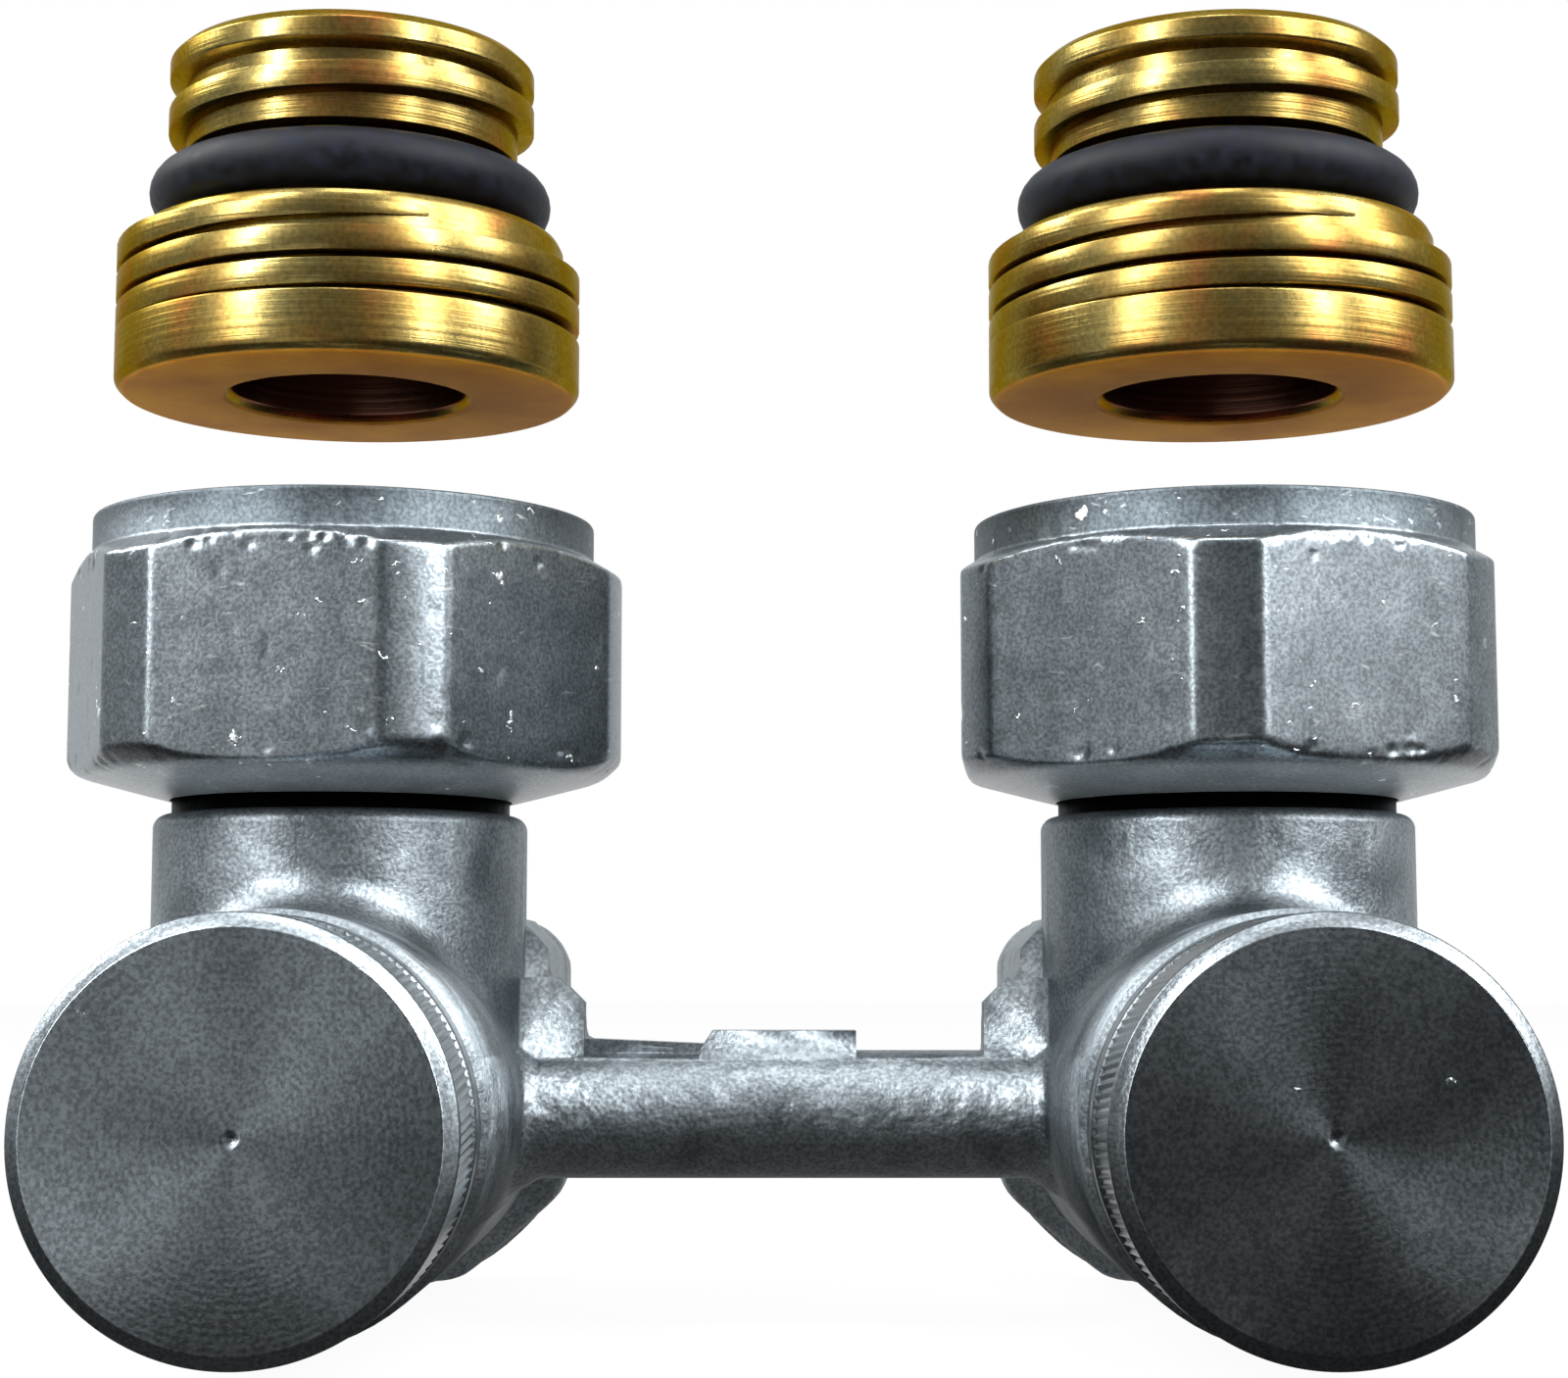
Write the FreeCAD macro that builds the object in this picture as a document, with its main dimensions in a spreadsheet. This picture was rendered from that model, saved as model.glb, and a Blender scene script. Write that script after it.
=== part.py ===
import FreeCAD, Part
import math
import os
import Sketcher

# Radiator H-block valve: a forged double angle body with two screw-down shut-offs,
# two union nuts and the two threaded nipples that screw into the radiator.
# Lengths are in millimetres. X runs across the two necks, -Y points to the caps,
# +Y to the pipes and +Z up the necks. Inside the source the necks stand on y = 0 and
# the spindles lie on z = 0; the placements put the part on its lowest point.

DIMENSIONS = {
    # Body, outside
    "neck_spacing": (50.0, "distance between the two neck axes"),
    "front_reach": (31.0, "neck axis to the front face of a cap"),
    "rear_reach": (28.5, "neck axis to the end of a pipe thread"),
    "neck_radius": (10.45, "outside of a neck"),
    "shoulder_height": (16.4, "spindle axis to the top of a neck"),
    "shoulder_round": (0.8, "rounding of the top edge of a neck"),
    "neck_shoulder": (1.0, "width of the shoulder at the top of a neck"),
    "tail_height": (7.6, "neck shoulder to the sealing face of the spigot"),
    "boss_radius": (10.7, "horizontal barrel behind a cap"),
    "spigot_radius": (8.5, "thread under a cap, over the crests"),
    "collar_half_width": (11.8, "flats of the squarish collar in front of the pipe thread"),
    "collar_half_height": (10.9, "flat top and bottom of the collar"),
    "collar_cut_across": (6.5, "lower corner cut of the collar, sideways"),
    "collar_cut_up": (5.5, "lower corner cut of the collar, upwards"),
    "collar_front": (13.0, "neck axis to the front of the collar"),
    "collar_length": (4.0, "length of the collar"),
    "relief_length": (1.2, "thread run-out behind the collar"),
    "relief_depth": (1.0, "depth of the thread run-out"),
    "pipe_thread_radius": (12.0, "pipe thread, over the crests"),
    "thread_lead_in": (0.8, "chamfer at the start of each outside thread"),
    "gusset_inset": (0.1, "shoulder behind a neck inside the outline of the collar"),
    "gusset_cut": (1.8, "corner cut of the shoulder"),
    "gusset_skirt": (4.0, "height over which the shoulder runs into the barrel"),
    "gusset_foot": (0.6, "foot of the shoulder inside the barrel"),
    "web_reach": (13.9, "neck axis to the edge of the web over the end of the bar"),
    "web_top": (7.4, "spindle axis to the top of the web"),
    "web_cut": (1.4, "corner cut of the web"),
    "web_foot": (9.0, "neck axis to the foot of the web inside the neck"),
    "web_thickness": (3.2, "thickness of the web"),
    "blend_radius": (2.6, "forged fillet between neck and barrel"),
    "bar_radius": (3.55, "connecting bar"),
    "bar_drop": (0.2, "bar axis below the spindle axis"),
    "bar_root": (1.0, "metal between the end of the bar and the bore"),
    "bar_flare": (1.0, "flare of the bar where it meets a barrel"),
    "bar_flare_length": (1.7, "length of that flare"),
    "bar_flare_start": (9.7, "neck axis to the thick end of that flare"),
    "fin_rise": (0.7, "flash fin above the bar, beside the left barrel"),
    "fin_thickness": (2.2, "thickness of the flash fin"),
    "fin_slope": (0.35, "fall of the flash fin towards the pad"),
    "pad_length": (8.0, "raised pad on top of the bar"),
    "pad_slope": (0.7, "sloping ends of the pad"),
    "pad_width": (3.6, "raised pad on top of the bar"),
    "pad_rise": (1.1, "raised pad above the top of the bar"),
    # Body, waterways
    "bonnet_bore": (6.5, "bore that takes a bonnet, also the valve chamber"),
    "bonnet_sink": (2.75, "spigot end to the step that a bonnet rests on"),
    "seat_front": (6.2, "neck axis to the valve seat"),
    "seat_lip_height": (0.8, "seat lip above the chamber floor"),
    "seat_lip_width": (0.95, "width of the seat lip"),
    "seat_bore": (4.75, "waterway through the seat"),
    "pipe_bore": (7.0, "bore behind the pipe thread"),
    "pipe_bore_depth": (15.5, "depth of the bore behind the pipe thread"),
    "pipe_cone_rise": (1.6, "widening of the sealing cone at the mouth"),
    "pipe_cone_depth": (2.77, "depth of the sealing cone at the mouth"),
    "neck_bore": (6.5, "waterway up the neck"),
    # Union nut and its ring
    "nut_wall": (1.23, "thread of a union nut to its flats"),
    "nut_corner_rise": (1.3, "turned corners beyond the flats"),
    "nut_collar_wall": (0.83, "thread of a union nut to the outside of its round collar"),
    "nut_gap": (0.8, "neck shoulder to the underside of a union nut"),
    "nut_cone_height": (1.6, "rise of the sloping underside"),
    "nut_hex_height": (13.7, "underside to the top of the hexagon"),
    "nut_height": (15.8, "whole height of a union nut"),
    "nut_chamfer": (1.75, "thirty degree chamfer at the top of the hexagon"),
    "nut_flange": (3.0, "thickness of the inward flange"),
    "nut_mouth_cut": (0.5, "chamfer at the mouth of the thread"),
    "nut_turn_left": (22.0, "rest angle of the left nut, degrees"),
    "nut_turn_right": (-7.9, "rest angle of the right nut, degrees"),
    "ring_rise": (0.3, "nut flange to the snap ring"),
    "ring_height": (1.4, "height of the snap ring"),
    "ring_depth": (0.9, "depth of the snap ring groove"),
    "ring_stand": (1.35, "snap ring beyond the spigot"),
    "ring_split": (3.0, "gap between the ends of the snap ring"),
    "gasket_thickness": (2.0, "flat gasket in a union"),
    "gasket_radius": (9.3, "outside of the flat gasket"),
    # Nipple
    "union_thread_radius": (13.22, "three quarter inch thread, over the crests"),
    "radiator_thread_radius": (10.48, "half inch thread, over the crests"),
    "union_thread_length": (9.2, "lower threaded part of a nipple"),
    "waist_length": (4.6, "plain waist with the seal"),
    "radiator_thread_length": (6.0, "upper threaded part of a nipple"),
    "waist_radius": (8.2, "plain waist"),
    "nipple_shoulder": (0.9, "shoulder above the lower thread"),
    "nipple_band": (3.3, "plain band under the lower thread"),
    "union_thread_pitch": (1.814, "pitch of the three quarter inch thread"),
    "union_thread_depth": (1.0, "depth of its grooves"),
    "union_thread_floor": (0.15, "width of a groove at its floor"),
    "union_thread_mouth": (1.0, "width of a groove at the crests"),
    "nipple_lift": (14.3, "how far a nipple stands above its seat"),
    "nipple_bore": (6.6, "bore of a nipple"),
    "nipple_mouth_cut": (0.5, "chamfer at the mouth of the bore"),
    "key_across_flats": (10.0, "hexagon at the end of the bore, for the mounting key"),
    "key_depth": (6.0, "depth of that hexagon"),
    "nipple_ring_section": (3.2, "section of the seal at the waist"),
    # Cap
    "cap_radius": (10.4, "outside of a cap"),
    "cap_length": (9.0, "length of a cap"),
    "cap_wall_end": (1.8, "end wall of a cap"),
    "cap_chamfer": (0.9, "bright chamfer round the face"),
    "cap_gap": (0.3, "cap to the barrel behind it"),
    "cap_seal_thickness": (1.2, "sealing disc in a cap"),
    "cap_seal_bore": (5.0, "hole of the sealing disc"),
    "cap_seal_gap": (0.3, "sealing disc to the edge of the spigot"),
    # Bonnet
    "bonnet_flange_radius": (7.3, "flange that rests on the step"),
    "bonnet_flange": (1.2, "thickness of that flange"),
    "bonnet_key": (9.5, "hexagon in the bonnet, across flats"),
    "bonnet_key_depth": (3.0, "depth of that hexagon"),
    "bonnet_thread_length": (5.1, "female thread for the spindle"),
    "bonnet_seal_place": (12.6, "front of the bonnet to its outer groove"),
    "bonnet_seal_section": (1.1, "section of the outer seal"),
    "stem_seal_place": (9.4, "front of the bonnet to the inner groove"),
    "stem_seal_section": (1.4, "section of the stem seal"),
    # Spindle and disc
    "stem_radius": (3.5, "plain stem"),
    "stem_set_back": (1.4, "front of the open spindle behind the front of the bonnet"),
    "stem_key": (5.0, "hexagon in the stem, across flats"),
    "stem_key_depth": (5.0, "depth of that hexagon"),
    "spindle_thread_radius": (5.0, "spindle thread, over the crests"),
    "spindle_thread_gap": (0.2, "open spindle thread to the end of the thread in the bonnet"),
    "spindle_thread_rear": (0.55, "hub of the disc to the rear of the spindle thread"),
    "spindle_neck": (1.6, "thin neck before the button"),
    "button_radius": (2.4, "button that the disc hangs on"),
    "button_length": (1.1, "length of the button"),
    "lift": (3.0, "travel of the disc"),
    "disc_radius": (6.1, "outside of the valve disc"),
    "disc_thickness": (1.6, "web of the valve disc"),
    "disc_rim": (1.2, "rim round the seal"),
    "disc_seal_radius": (5.8, "seal in the disc"),
    "disc_seal_thickness": (2.0, "seal in the disc"),
    "hub_radius": (3.4, "hub of the disc"),
    "hub_lip": (1.3, "lip crimped round the spindle neck"),
    # Clearances
    "running_fit": (0.05, "radial clearance of turning and sliding fits"),
    "face_gap": (0.05, "gap between faces that close on each other"),
    "seal_fit": (0.05, "clearance round a seal in its groove"),
}

SIDES = {"left": -1, "right": 1}
HEX_SIDES = 6
RING_SIDES = 8
CORNER_START = 30.0
FULL_TURN = 360.0
CHAMFER_SLOPE = math.tan(math.radians(30.0))
CUT_OVERRUN = 4.0
OVERLAP = 1.0


class Size:
    """A length that knows its number and the formula that binds it to the sheet."""

    def __init__(self, value, text):
        self.value = value
        self.text = text

    def __add__(self, other):
        other = as_size(other)
        return Size(self.value + other.value, f"({self.text} + {other.text})")

    def __sub__(self, other):
        other = as_size(other)
        return Size(self.value - other.value, f"({self.text} - {other.text})")

    def __mul__(self, factor):
        factor = as_size(factor)
        return Size(self.value * factor.value, f"({self.text} * {factor.text})")

    def __truediv__(self, factor):
        factor = as_size(factor)
        return Size(self.value / factor.value, f"({self.text} / {factor.text})")

    def __neg__(self):
        return self * -1

    def __radd__(self, other):
        return as_size(other) + self

    def __rsub__(self, other):
        return as_size(other) - self

    def __rmul__(self, other):
        return self * other


def as_size(value):
    if isinstance(value, Size):
        return value
    return Size(float(value), f"({float(value):.9f})")


class Sizes:
    """The driving dimensions, each one readable as an attribute."""


doc = FreeCAD.newDocument("h_block_valve")
sheet = doc.addObject("Spreadsheet::Sheet", "Sizes")
size = Sizes()
for row, (alias, (number, meaning)) in enumerate(DIMENSIONS.items(), start=1):
    sheet.set(f"A{row}", meaning)
    sheet.set(f"B{row}", str(number))
    sheet.setAlias(f"B{row}", alias)
    setattr(size, alias, Size(number, f"Sizes.{alias}"))
doc.recompute()

# Levels and stations that several pieces share, measured from the crossing of the axes.
half_spacing = size.neck_spacing / 2
spindle_level = size.pipe_thread_radius
neck_plane = (size.front_reach - size.rear_reach) / 2

tail_radius = size.neck_radius - size.neck_shoulder
nut_thread = size.union_thread_radius + size.running_fit
nut_half_flats = nut_thread + size.nut_wall
nut_base = size.shoulder_height + size.nut_gap
flange_top = nut_base + size.nut_flange
ring_base = flange_top + size.ring_rise
tail_top = size.shoulder_height + size.tail_height
gasket_top = tail_top + size.gasket_thickness
nipple_seat = gasket_top + size.face_gap

cap_inner = size.front_reach - size.cap_wall_end
seal_back = cap_inner - size.cap_seal_thickness
spigot_end = seal_back - size.face_gap
boss_front = size.front_reach - size.cap_length - size.cap_gap
bonnet_step = spigot_end - size.bonnet_sink
bonnet_front = bonnet_step + size.bonnet_flange
bonnet_rear = size.neck_bore
bonnet_thread_end = bonnet_rear + size.bonnet_thread_length

seal_face = size.seat_front - size.lift - size.face_gap
seal_floor = seal_face - size.disc_seal_thickness
disc_back = seal_floor - size.disc_thickness
hub_cavity = size.button_length + 2 * size.face_gap
button_rear = disc_back - size.face_gap
hub_front = disc_back - hub_cavity - size.hub_lip
thread_front = bonnet_thread_end - size.spindle_thread_gap
thread_rear = size.spindle_thread_rear - hub_front
stem_front = bonnet_front - size.stem_set_back


def bind(feature, prop, length):
    setattr(feature, prop, length.value)
    feature.setExpression(prop, length.text)


def new_body(label):
    body = doc.addObject("PartDesign::Body", label)
    body.Label = label
    return body


def origin_plane(body, role):
    return next(item for item in body.Origin.OriginFeatures if item.Role == role)


def attach(feature, body, role, shift):
    """Attach a sketch or a prism to an origin plane, moved by bound offsets."""
    feature.AttachmentSupport = [(origin_plane(body, role), "")]
    feature.MapMode = "FlatFace"
    for axis, length in shift.items():
        feature.setExpression(f"AttachmentOffset.Base.{axis}", as_size(length).text)


def outline(body, name, role, points, shift=None):
    """A closed outline whose corners are bound, point by point, to the sheet."""
    sketch = body.newObject("Sketcher::SketchObject", name)
    attach(sketch, body, role, shift or {})
    corners = [(as_size(u), as_size(v)) for u, v in points]
    spots = [FreeCAD.Vector(u.value, v.value, 0) for u, v in corners]
    count = len(spots)
    for index in range(count):
        sketch.addGeometry(Part.LineSegment(spots[index], spots[(index + 1) % count]), False)
    for index in range(count):
        sketch.addConstraint(Sketcher.Constraint("Coincident", index, 2, (index + 1) % count, 1))
    for index, (u, v) in enumerate(corners):
        for kind, length in (("DistanceX", u), ("DistanceY", v)):
            rule = Sketcher.Constraint(kind, -1, 1, index, 1, length.value)
            number = sketch.addConstraint(rule)
            sketch.setExpression(f"Constraints[{number}]", length.text)
    return sketch


def turned(body, name, role, axis, points, shift=None, cut=False):
    """Turn an outline about the sketch axis, as a solid or as a cut."""
    sketch = outline(body, f"{name}_outline", role, points, shift)
    kind = "PartDesign::Groove" if cut else "PartDesign::Revolution"
    before = body.Shape.Volume if cut else 0.0
    feature = body.newObject(kind, name)
    feature.Profile = sketch
    feature.ReferenceAxis = (sketch, [axis])
    feature.Angle = FULL_TURN
    doc.recompute()
    if cut and not body.Shape.Volume < before:
        raise RuntimeError(f"{name} cuts nothing")
    return feature


def pad(body, name, sketch, length, backwards=False, both_ways=False):
    """Raise an outline into a solid, on one side of its plane or on both."""
    feature = body.newObject("PartDesign::Pad", name)
    feature.Profile = sketch
    feature.Reversed = backwards
    if both_ways:
        feature.SideType = "Symmetric"
    bind(feature, "Length", length)
    doc.recompute()
    return feature


def prism(body, name, sides, across_flats, height, role="XY_Plane", shift=None, cut=False):
    """A regular prism, its flats this far apart, as a solid or as a cut."""
    kind = "PartDesign::SubtractivePrism" if cut else "PartDesign::AdditivePrism"
    before = body.Shape.Volume if cut else 0.0
    feature = body.newObject(kind, name)
    feature.Polygon = sides
    attach(feature, body, role, shift or {})
    bind(feature, "Circumradius", across_flats / (2 * math.cos(math.pi / sides)))
    bind(feature, "Height", height)
    doc.recompute()
    if cut and not body.Shape.Volume < before:
        raise RuntimeError(f"{name} cuts nothing")
    return feature


def rounded(body, name, radius, wanted):
    """Fillet the edges of the body for which wanted(edge) holds."""
    base = body.Tip
    names = [f"Edge{i}" for i, edge in enumerate(base.Shape.Edges, start=1) if wanted(edge)]
    if not names:
        raise RuntimeError(f"{name} finds no edge")
    feature = body.newObject("PartDesign::Fillet", name)
    feature.Refine = False
    feature.Base = (base, names)
    bind(feature, "Radius", radius)
    doc.recompute()
    return feature


def stand(body, side, height=0.0):
    """Place a piece on a neck axis, at this height above the spindle axis."""
    body.setExpression("Placement.Base.x", (side * half_spacing).text)
    body.setExpression("Placement.Base.y", neck_plane.text)
    body.setExpression("Placement.Base.z", (spindle_level + height).text)


def face_front(body, side):
    """Place a piece on a spindle axis, its own +Z pointing to the front."""
    body.Placement.Rotation = FreeCAD.Rotation(FreeCAD.Vector(1, 0, 0), 90)
    body.setExpression("Placement.Base.x", (side * half_spacing).text)
    body.setExpression("Placement.Base.y", neck_plane.text)
    body.setExpression("Placement.Base.z", spindle_level.text)


def ring(label, middle_radius, section, height, place, side):
    """A seal with an eight-sided section this thick, centred this far up its own axis."""
    seal = new_body(label)
    corners = []
    for index in range(RING_SIDES):
        angle = 2 * math.pi * (index + 0.5) / RING_SIDES
        out = middle_radius + section * (math.cos(angle) / 2)
        corners.append((out, height + section * (math.sin(angle) / 2)))
    turned(seal, f"{label}_band", "XZ_Plane", "V_Axis", corners)
    place(seal, side)
    return seal


def half_outside(body):
    """Neck and barrel of the right half, with the forged fillet between them."""
    x = half_spacing
    rear_thread = size.collar_front + size.collar_length + size.relief_length
    relief = size.pipe_thread_radius - size.relief_depth
    lead_in = size.thread_lead_in
    turned(body, "neck", "XZ_Plane", "V_Axis", [
        (0, 0),
        (size.neck_radius, 0),
        (size.neck_radius, size.shoulder_height),
        (tail_radius, size.shoulder_height),
        (tail_radius, tail_top),
        (0, tail_top),
    ], {"x": x})
    profile = [
        (-spigot_end, 0),
        (-spigot_end, size.spigot_radius - lead_in),
        (lead_in - spigot_end, size.spigot_radius),
        (-boss_front, size.spigot_radius),
        (-boss_front, size.boss_radius),
        (size.collar_front, size.boss_radius),
        (size.collar_front, relief),
        (rear_thread, relief),
        (rear_thread, size.pipe_thread_radius),
        (size.rear_reach - lead_in, size.pipe_thread_radius),
        (size.rear_reach, size.pipe_thread_radius - lead_in),
        (size.rear_reach, 0),
    ]
    # The outline hangs below the axis, so that the seam of the barrel is clear of the neck.
    hanging = [(along, -as_size(out)) for along, out in profile]
    turned(body, "barrel", "YZ_Plane", "H_Axis", hanging, {"z": x})
    rounded(body, "forged_blend", size.blend_radius, on_neck_and_barrel)
    rounded(body, "neck_edge", size.shoulder_round, on_neck_top)


def half_gusset(body):
    """Flat-topped shoulder between the back of a neck and its collar."""
    x = half_spacing
    wide = size.collar_half_width - size.gusset_inset
    high = size.collar_half_height - size.gusset_inset
    cut = size.gusset_cut
    foot = size.boss_radius - size.gusset_foot
    sketch = outline(body, "gusset_outline", "XZ_Plane", [
        (x - foot, 0),
        (x + foot, 0),
        (x + wide, size.gusset_skirt),
        (x + wide, high - cut),
        (x + wide - cut, high),
        (x - wide + cut, high),
        (x - wide, high - cut),
        (x - wide, size.gusset_skirt),
    ])
    pad(body, "gusset", sketch, size.collar_front, backwards=True)


def half_collar(body):
    """Squarish collar for a wrench, in front of the pipe thread."""
    x = half_spacing
    wide = size.collar_half_width
    high = size.collar_half_height
    cut = size.gusset_cut
    across = size.collar_cut_across
    up = size.collar_cut_up
    sketch = outline(body, "collar_outline", "XZ_Plane", [
        (x - wide + across, -high),
        (x + wide - across, -high),
        (x + wide, up - high),
        (x + wide, high - cut),
        (x + wide - cut, high),
        (x - wide + cut, high),
        (x - wide, high - cut),
        (x - wide, up - high),
    ], {"z": -size.collar_front})
    pad(body, "collar", sketch, size.collar_length, backwards=True)


def half_web(body):
    """Upright web that ties the neck to the end of the bar, in the plane of the bar."""
    x = half_spacing
    sketch = outline(body, "web_outline", "XZ_Plane", [
        (x - size.web_foot, 0),
        (x - size.web_foot, size.web_top),
        (x - size.web_reach + size.web_cut, size.web_top),
        (x - size.web_reach, size.web_top - size.web_cut),
        (x - size.web_reach, 0),
    ])
    pad(body, "web", sketch, size.web_thickness, both_ways=True)


def half_waterways(body):
    """Stepped bore with its seat, the bore up the neck and the snap ring groove."""
    x = half_spacing
    chamber_floor = size.seat_front + size.seat_lip_height
    lip = size.seat_bore + size.seat_lip_width
    cone = size.rear_reach - size.pipe_cone_depth
    turned(body, "spindle_bore", "YZ_Plane", "H_Axis", [
        (-spigot_end - OVERLAP, 0),
        (-spigot_end - OVERLAP, size.bonnet_flange_radius + size.running_fit),
        (-bonnet_step, size.bonnet_flange_radius + size.running_fit),
        (-bonnet_step, size.bonnet_bore),
        (chamber_floor, size.bonnet_bore),
        (chamber_floor, lip),
        (size.seat_front, lip),
        (size.seat_front, size.seat_bore),
        (size.rear_reach - size.pipe_bore_depth, size.seat_bore),
        (size.rear_reach - size.pipe_bore_depth, size.pipe_bore),
        (cone, size.pipe_bore),
        (size.rear_reach, size.pipe_bore + size.pipe_cone_rise),
        (size.rear_reach, 0),
    ], {"z": x}, cut=True)
    turned(body, "neck_waterway", "XZ_Plane", "V_Axis", [
        (0, 0),
        (size.neck_bore, 0),
        (size.neck_bore, tail_top),
        (0, tail_top),
    ], {"x": x}, cut=True)
    turned(body, "ring_groove", "XZ_Plane", "V_Axis", [
        (tail_radius - size.ring_depth, ring_base),
        (tail_radius + size.ring_stand, ring_base),
        (tail_radius + size.ring_stand, ring_base + size.ring_height),
        (tail_radius - size.ring_depth, ring_base + size.ring_height),
    ], {"x": x}, cut=True)


def middle_of(edge):
    return edge.valueAt((edge.FirstParameter + edge.LastParameter) / 2)


def near(number, target):
    return abs(number - target) < 1e-3


def on_neck_and_barrel(edge):
    """The saddle-shaped edge where a neck grows out of a barrel."""
    spot = middle_of(edge)
    across = abs(spot.x) - half_spacing.value
    on_neck = near(math.hypot(across, spot.y), size.neck_radius.value)
    return on_neck and near(math.hypot(across, spot.z), size.boss_radius.value)


def on_neck_top(edge):
    spot = middle_of(edge)
    across = abs(spot.x) - half_spacing.value
    on_neck = near(math.hypot(across, spot.y), size.neck_radius.value)
    return on_neck and near(spot.z, size.shoulder_height.value)


def bar_between(body):
    """Connecting bar, flared at its ends, with the raised pad and the flash fin on top."""
    root = half_spacing - size.bonnet_bore - size.bar_root
    wide = half_spacing - size.bar_flare_start
    thin = wide - size.bar_flare_length
    thick = size.bar_radius + size.bar_flare
    axis = -size.bar_drop
    turned(body, "bar", "XZ_Plane", "H_Axis", [
        (-root, 0),
        (-root, thick),
        (-wide, thick),
        (-thin, size.bar_radius),
        (thin, size.bar_radius),
        (wide, thick),
        (root, thick),
        (root, 0),
    ], {"y": axis})
    top = size.bar_radius - size.bar_drop
    half = size.pad_length / 2
    sketch = outline(body, "bar_pad_outline", "XZ_Plane", [
        (-half - size.pad_slope, 0),
        (half, 0),
        (half, top + size.pad_rise),
        (-half, top + size.pad_rise),
        (-half - size.pad_slope, top),
    ])
    pad(body, "bar_pad", sketch, size.pad_width, both_ways=True)
    far = half_spacing - size.web_reach + OVERLAP
    sketch = outline(body, "flash_fin_outline", "XZ_Plane", [
        (-far, 0),
        (-half, 0),
        (-half, top + size.fin_rise - size.fin_slope),
        (-far, top + size.fin_rise),
    ])
    pad(body, "flash_fin", sketch, size.fin_thickness, both_ways=True)


def valve_body():
    """The forging: one half, its mirror image and the bar that joins them."""
    body = new_body("valve_body")
    half_outside(body)
    half_gusset(body)
    half_collar(body)
    half_web(body)
    half_waterways(body)
    other = body.newObject("PartDesign::Mirrored", "other_half")
    other.TransformMode = "Whole shape"
    other.MirrorPlane = (origin_plane(body, "YZ_Plane"), [""])
    body.Tip = other
    doc.recompute()
    bar_between(body)
    body.setExpression("Placement.Base.y", neck_plane.text)
    body.setExpression("Placement.Base.z", spindle_level.text)
    return body


def union_nut(name, side):
    body = new_body(f"union_nut_{name}")
    corner = nut_half_flats + size.nut_corner_rise
    far = corner + CUT_OVERRUN
    collar = nut_thread + size.nut_collar_wall
    tail = tail_radius + size.running_fit * 2
    prism(body, f"nut_hexagon_{name}", HEX_SIDES, 2 * nut_half_flats, size.nut_hex_height)
    turned(body, f"nut_corners_{name}", "XZ_Plane", "V_Axis", [
        (tail, 0),
        (corner, size.nut_cone_height),
        (corner, size.nut_hex_height - size.nut_chamfer * CHAMFER_SLOPE),
        (corner - size.nut_chamfer, size.nut_hex_height),
        (far, size.nut_hex_height),
        (far, 0),
    ], cut=True)
    turned(body, f"nut_collar_{name}", "XZ_Plane", "V_Axis", [
        (0, size.nut_hex_height - OVERLAP),
        (collar, size.nut_hex_height - OVERLAP),
        (collar, size.nut_height),
        (0, size.nut_height),
    ])
    turned(body, f"nut_bore_{name}", "XZ_Plane", "V_Axis", [
        (0, 0),
        (tail, 0),
        (tail, size.nut_flange),
        (nut_thread, size.nut_flange),
        (nut_thread, size.nut_height - size.nut_mouth_cut),
        (nut_thread + size.nut_mouth_cut, size.nut_height),
        (0, size.nut_height),
    ], cut=True)
    turn = getattr(size, f"nut_turn_{name}")
    body.Placement.Rotation = FreeCAD.Rotation(FreeCAD.Vector(0, 0, 1), turn.value - CORNER_START)
    stand(body, side, nut_base)
    return body


def snap_ring(name, side):
    body = new_body(f"nut_snap_ring_{name}")
    inner = tail_radius - size.ring_depth + size.seal_fit
    outer = tail_radius + size.ring_stand
    top = size.ring_height - size.seal_fit
    turned(body, f"ring_band_{name}", "XZ_Plane", "V_Axis", [
        (inner, size.seal_fit),
        (outer, size.seal_fit),
        (outer, top),
        (inner, top),
    ])
    sketch = outline(body, f"ring_split_outline_{name}", "XY_Plane", [
        (-size.ring_split / 2, 0),
        (size.ring_split / 2, 0),
        (size.ring_split / 2, outer + OVERLAP),
        (-size.ring_split / 2, outer + OVERLAP),
    ])
    before = body.Shape.Volume
    split = body.newObject("PartDesign::Pocket", f"ring_split_{name}")
    split.Profile = sketch
    split.Reversed = True
    bind(split, "Length", size.ring_height)
    doc.recompute()
    if not body.Shape.Volume < before:
        raise RuntimeError("the snap ring is not split")
    stand(body, side, ring_base)
    return body


def washer(label, inner, outer, bottom, top):
    body = new_body(label)
    turned(body, f"{label}_band", "XZ_Plane", "V_Axis", [
        (inner, bottom),
        (outer, bottom),
        (outer, top),
        (inner, top),
    ])
    return body


def thread_rings():
    """Corners of the grooves that stand for the lower thread: plain rings, as many as have room."""
    floor = size.union_thread_radius - size.union_thread_depth
    flank = (size.union_thread_mouth - size.union_thread_floor) / 2
    room = size.union_thread_length - size.nipple_shoulder - size.nipple_band - size.union_thread_mouth
    grooves = math.floor(room.value / size.union_thread_pitch.value) + 1
    corners = []
    for turn in range(grooves):
        start = size.nipple_band + turn * size.union_thread_pitch
        corners.append((size.union_thread_radius, start))
        corners.append((floor, start + flank))
        corners.append((floor, start + flank + size.union_thread_floor))
        corners.append((size.union_thread_radius, start + size.union_thread_mouth))
    return corners


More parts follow.
